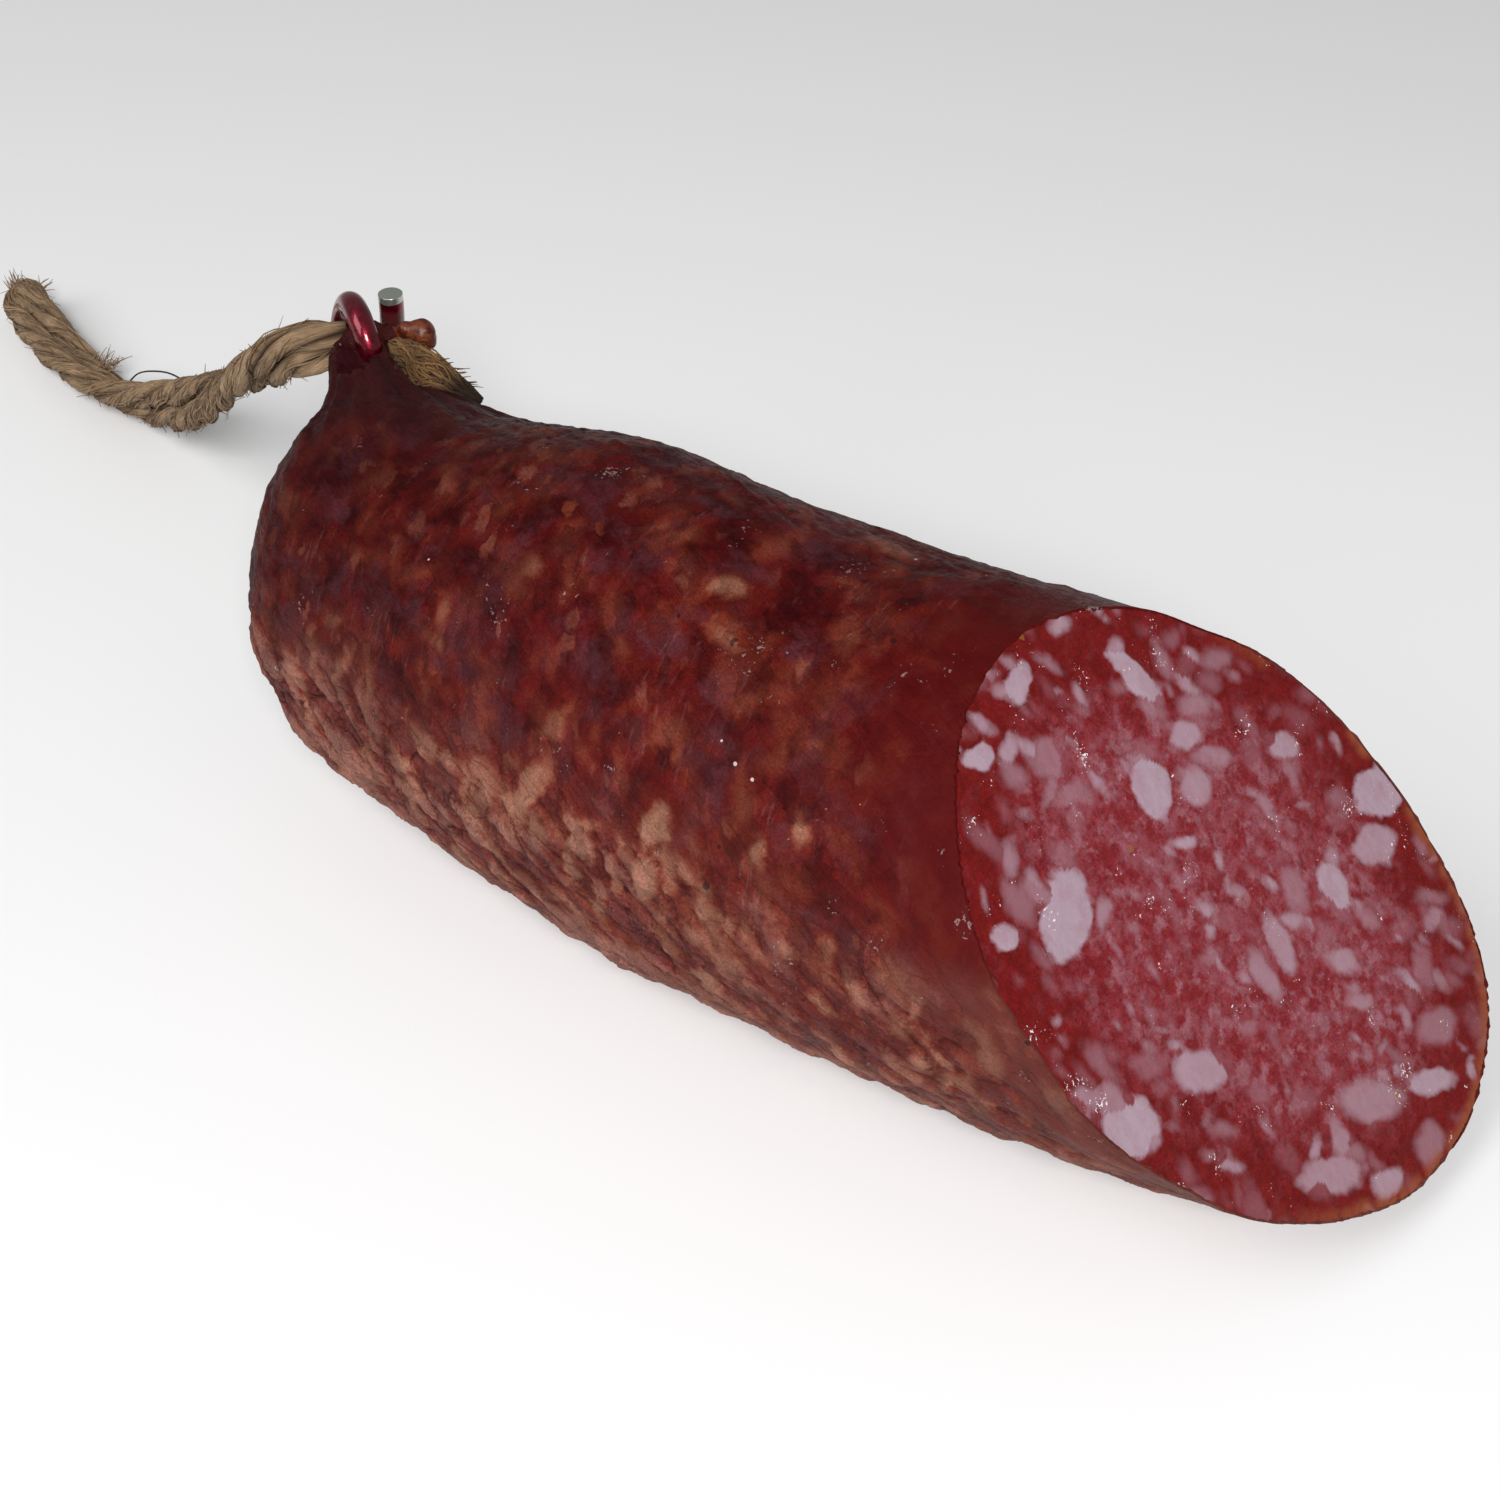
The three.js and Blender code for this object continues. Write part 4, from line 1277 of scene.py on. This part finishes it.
crimson_lacquer, tree, surface = shader("crimson_lacquer")
here = millimetres(tree)
post_top = float(wire[-1][2])
level = vectors("MULTIPLY", here, (1.0, 1.0, 0.0))[0]
aside = vectors("DISTANCE", level, (post_foot[0], post_foot[1], 0.0))["Value"]
on_post = maths("LESS_THAN", aside, POST_REACH)
ragged = plus(along_axis(here, 2), times(speckle(here, 1.2, 3.0), 0.35))
bare = times(maths("GREATER_THAN", ragged, post_top - BARE_END), on_post)
skin_left = times(on_post, between(ragged, post_top - 1.1, post_top - 1.9))
scuff = speckle(here, 0.8, 5.0, 0.7)
colour = blend(between(scuff, 0.35, 0.7), LACQUER_DARK, LACQUER_LIGHT)
colour = blend(times(skin_left, 0.85), colour, SKIN_ON_WIRE)
colour = blend(bare, colour, BARE_METAL)
scratches = speckle(shifted(here, Scale=(0.6, 0.6, 6.0)), 1.4, 4.0, 0.7)
coat(surface, plus(scratches, scuff), 0.25, 0.00008, Base_Color=colour,
     Roughness=between(scuff, 0.3, 0.75, 0.24, 0.4), Metallic=minus(0.85, times(skin_left, 0.75)),
     Coat_Weight=0.8, Coat_Roughness=0.05)
clip.data.materials.append(crimson_lacquer)
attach(clip, "root")
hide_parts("clip")

# ---- the twine's cut ends -----------------------------------------------------------
# Behind the clip the twine's two ends are left a centimetre long. They have come
# untwisted, and lie as a loose dry tuft over the sausage's shoulder.

TUFT_LINE = [
    (-58.8, 13.7, 38.1), (-57.3, 15.0, 37.8), (-55.9, 16.5, 37.7), (-54.1, 17.3, 37.9),
    (-52.2, 17.5, 37.5), (-49.2, 17.2, 36.6), (-46.0, 17.1, 36.0), (-43.2, 17.3, 35.5),
    (-41.2, 17.5, 35.0),
]
TUFT_SPREAD = [2.3, 1.8, 1.4, 1.8, 2.5, 2.7, 2.2, 1.3, 0.5]
TUFT_STRANDS = 300
TUFT_HAIRS = 110
# Painted shade for the grooves, painted highlight for the raised fibres, and painted shade for strands
# deep in the tuft.
TUFT_GROOVE_SHADE = shade(0.050, 0.019, 0.006)
TUFT_RIDGE_HIGHLIGHT = shade(0.33, 0.178, 0.068)
TUFT_INNER_SHADE = shade(0.03, 0.013, 0.005)

rng = random.Random(31)
tuft_line = smooth_line(TUFT_LINE, 0.7)
tuft_share = np.linspace(0, 1, len(tuft_line))
tuft_spread = np.interp(tuft_share, np.linspace(0, 1, len(TUFT_SPREAD)), TUFT_SPREAD)
tuft_up, tuft_aside = sides_of(tuft_line)
lines, sizes = [], []
for i in range(TUFT_STRANDS):
    out, turn = math.sqrt(rng.random()), rng.uniform(0, 2 * math.pi)
    stop = len(tuft_line) - int(rng.random() ** 2 * len(tuft_line) * 0.45)
    start = rng.randrange(4, 7)
    drift = np.array([[noise.noise(Vector((t * 6, i * 3.7, k * 9.1))) for k in (0, 1)]
                      for t in tuft_share])
    swirl = turn + rng.uniform(-0.6, 1.9) * tuft_share + 1.2 * drift[:, 1]
    reach = np.minimum(out * (0.86 + 0.12 * drift[:, 0]), 1.0) * (tuft_spread - 0.1)
    line = (tuft_line + tuft_up * (reach * np.cos(swirl))[:, None]
            + tuft_aside * (reach * np.sin(swirl))[:, None])
    lines.append(line[start:stop])
    thick = rng.uniform(0.07, 0.17)
    sizes.append(thick * np.interp(np.linspace(0, 1, stop - start), [0, 0.8, 1], [1, 1, 0.35]))
for i in range(TUFT_HAIRS):
    at = rng.randrange(6, len(tuft_line) - 3)
    turn = rng.uniform(0, 2 * math.pi)
    out = tuft_up[at] * math.cos(turn) + tuft_aside[at] * math.sin(turn)
    ahead = tuft_line[at + 1] - tuft_line[at]
    length = rng.uniform(0.3, 1.3)
    lines.append(tuft_line[at] + out * (tuft_spread[at] * 0.92 + length * 0.6 * hair_share)
                 + ahead / np.linalg.norm(ahead) * length * hair_share)
    sizes.append(np.linspace(0.07, 0.03, HAIR_POINTS))
tuft = strands("twine_tuft", lines, sizes, [5] * len(lines), tuft_line, 2.0)
tuft.data.materials.append(jute("jute_tuft", TUFT_GROOVE_SHADE, TUFT_RIDGE_HIGHLIGHT, TUFT_INNER_SHADE))
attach(tuft, "root")
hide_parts("twine_tail")

size = {"cad": cad_box, "visual": [list(corner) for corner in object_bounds()]}
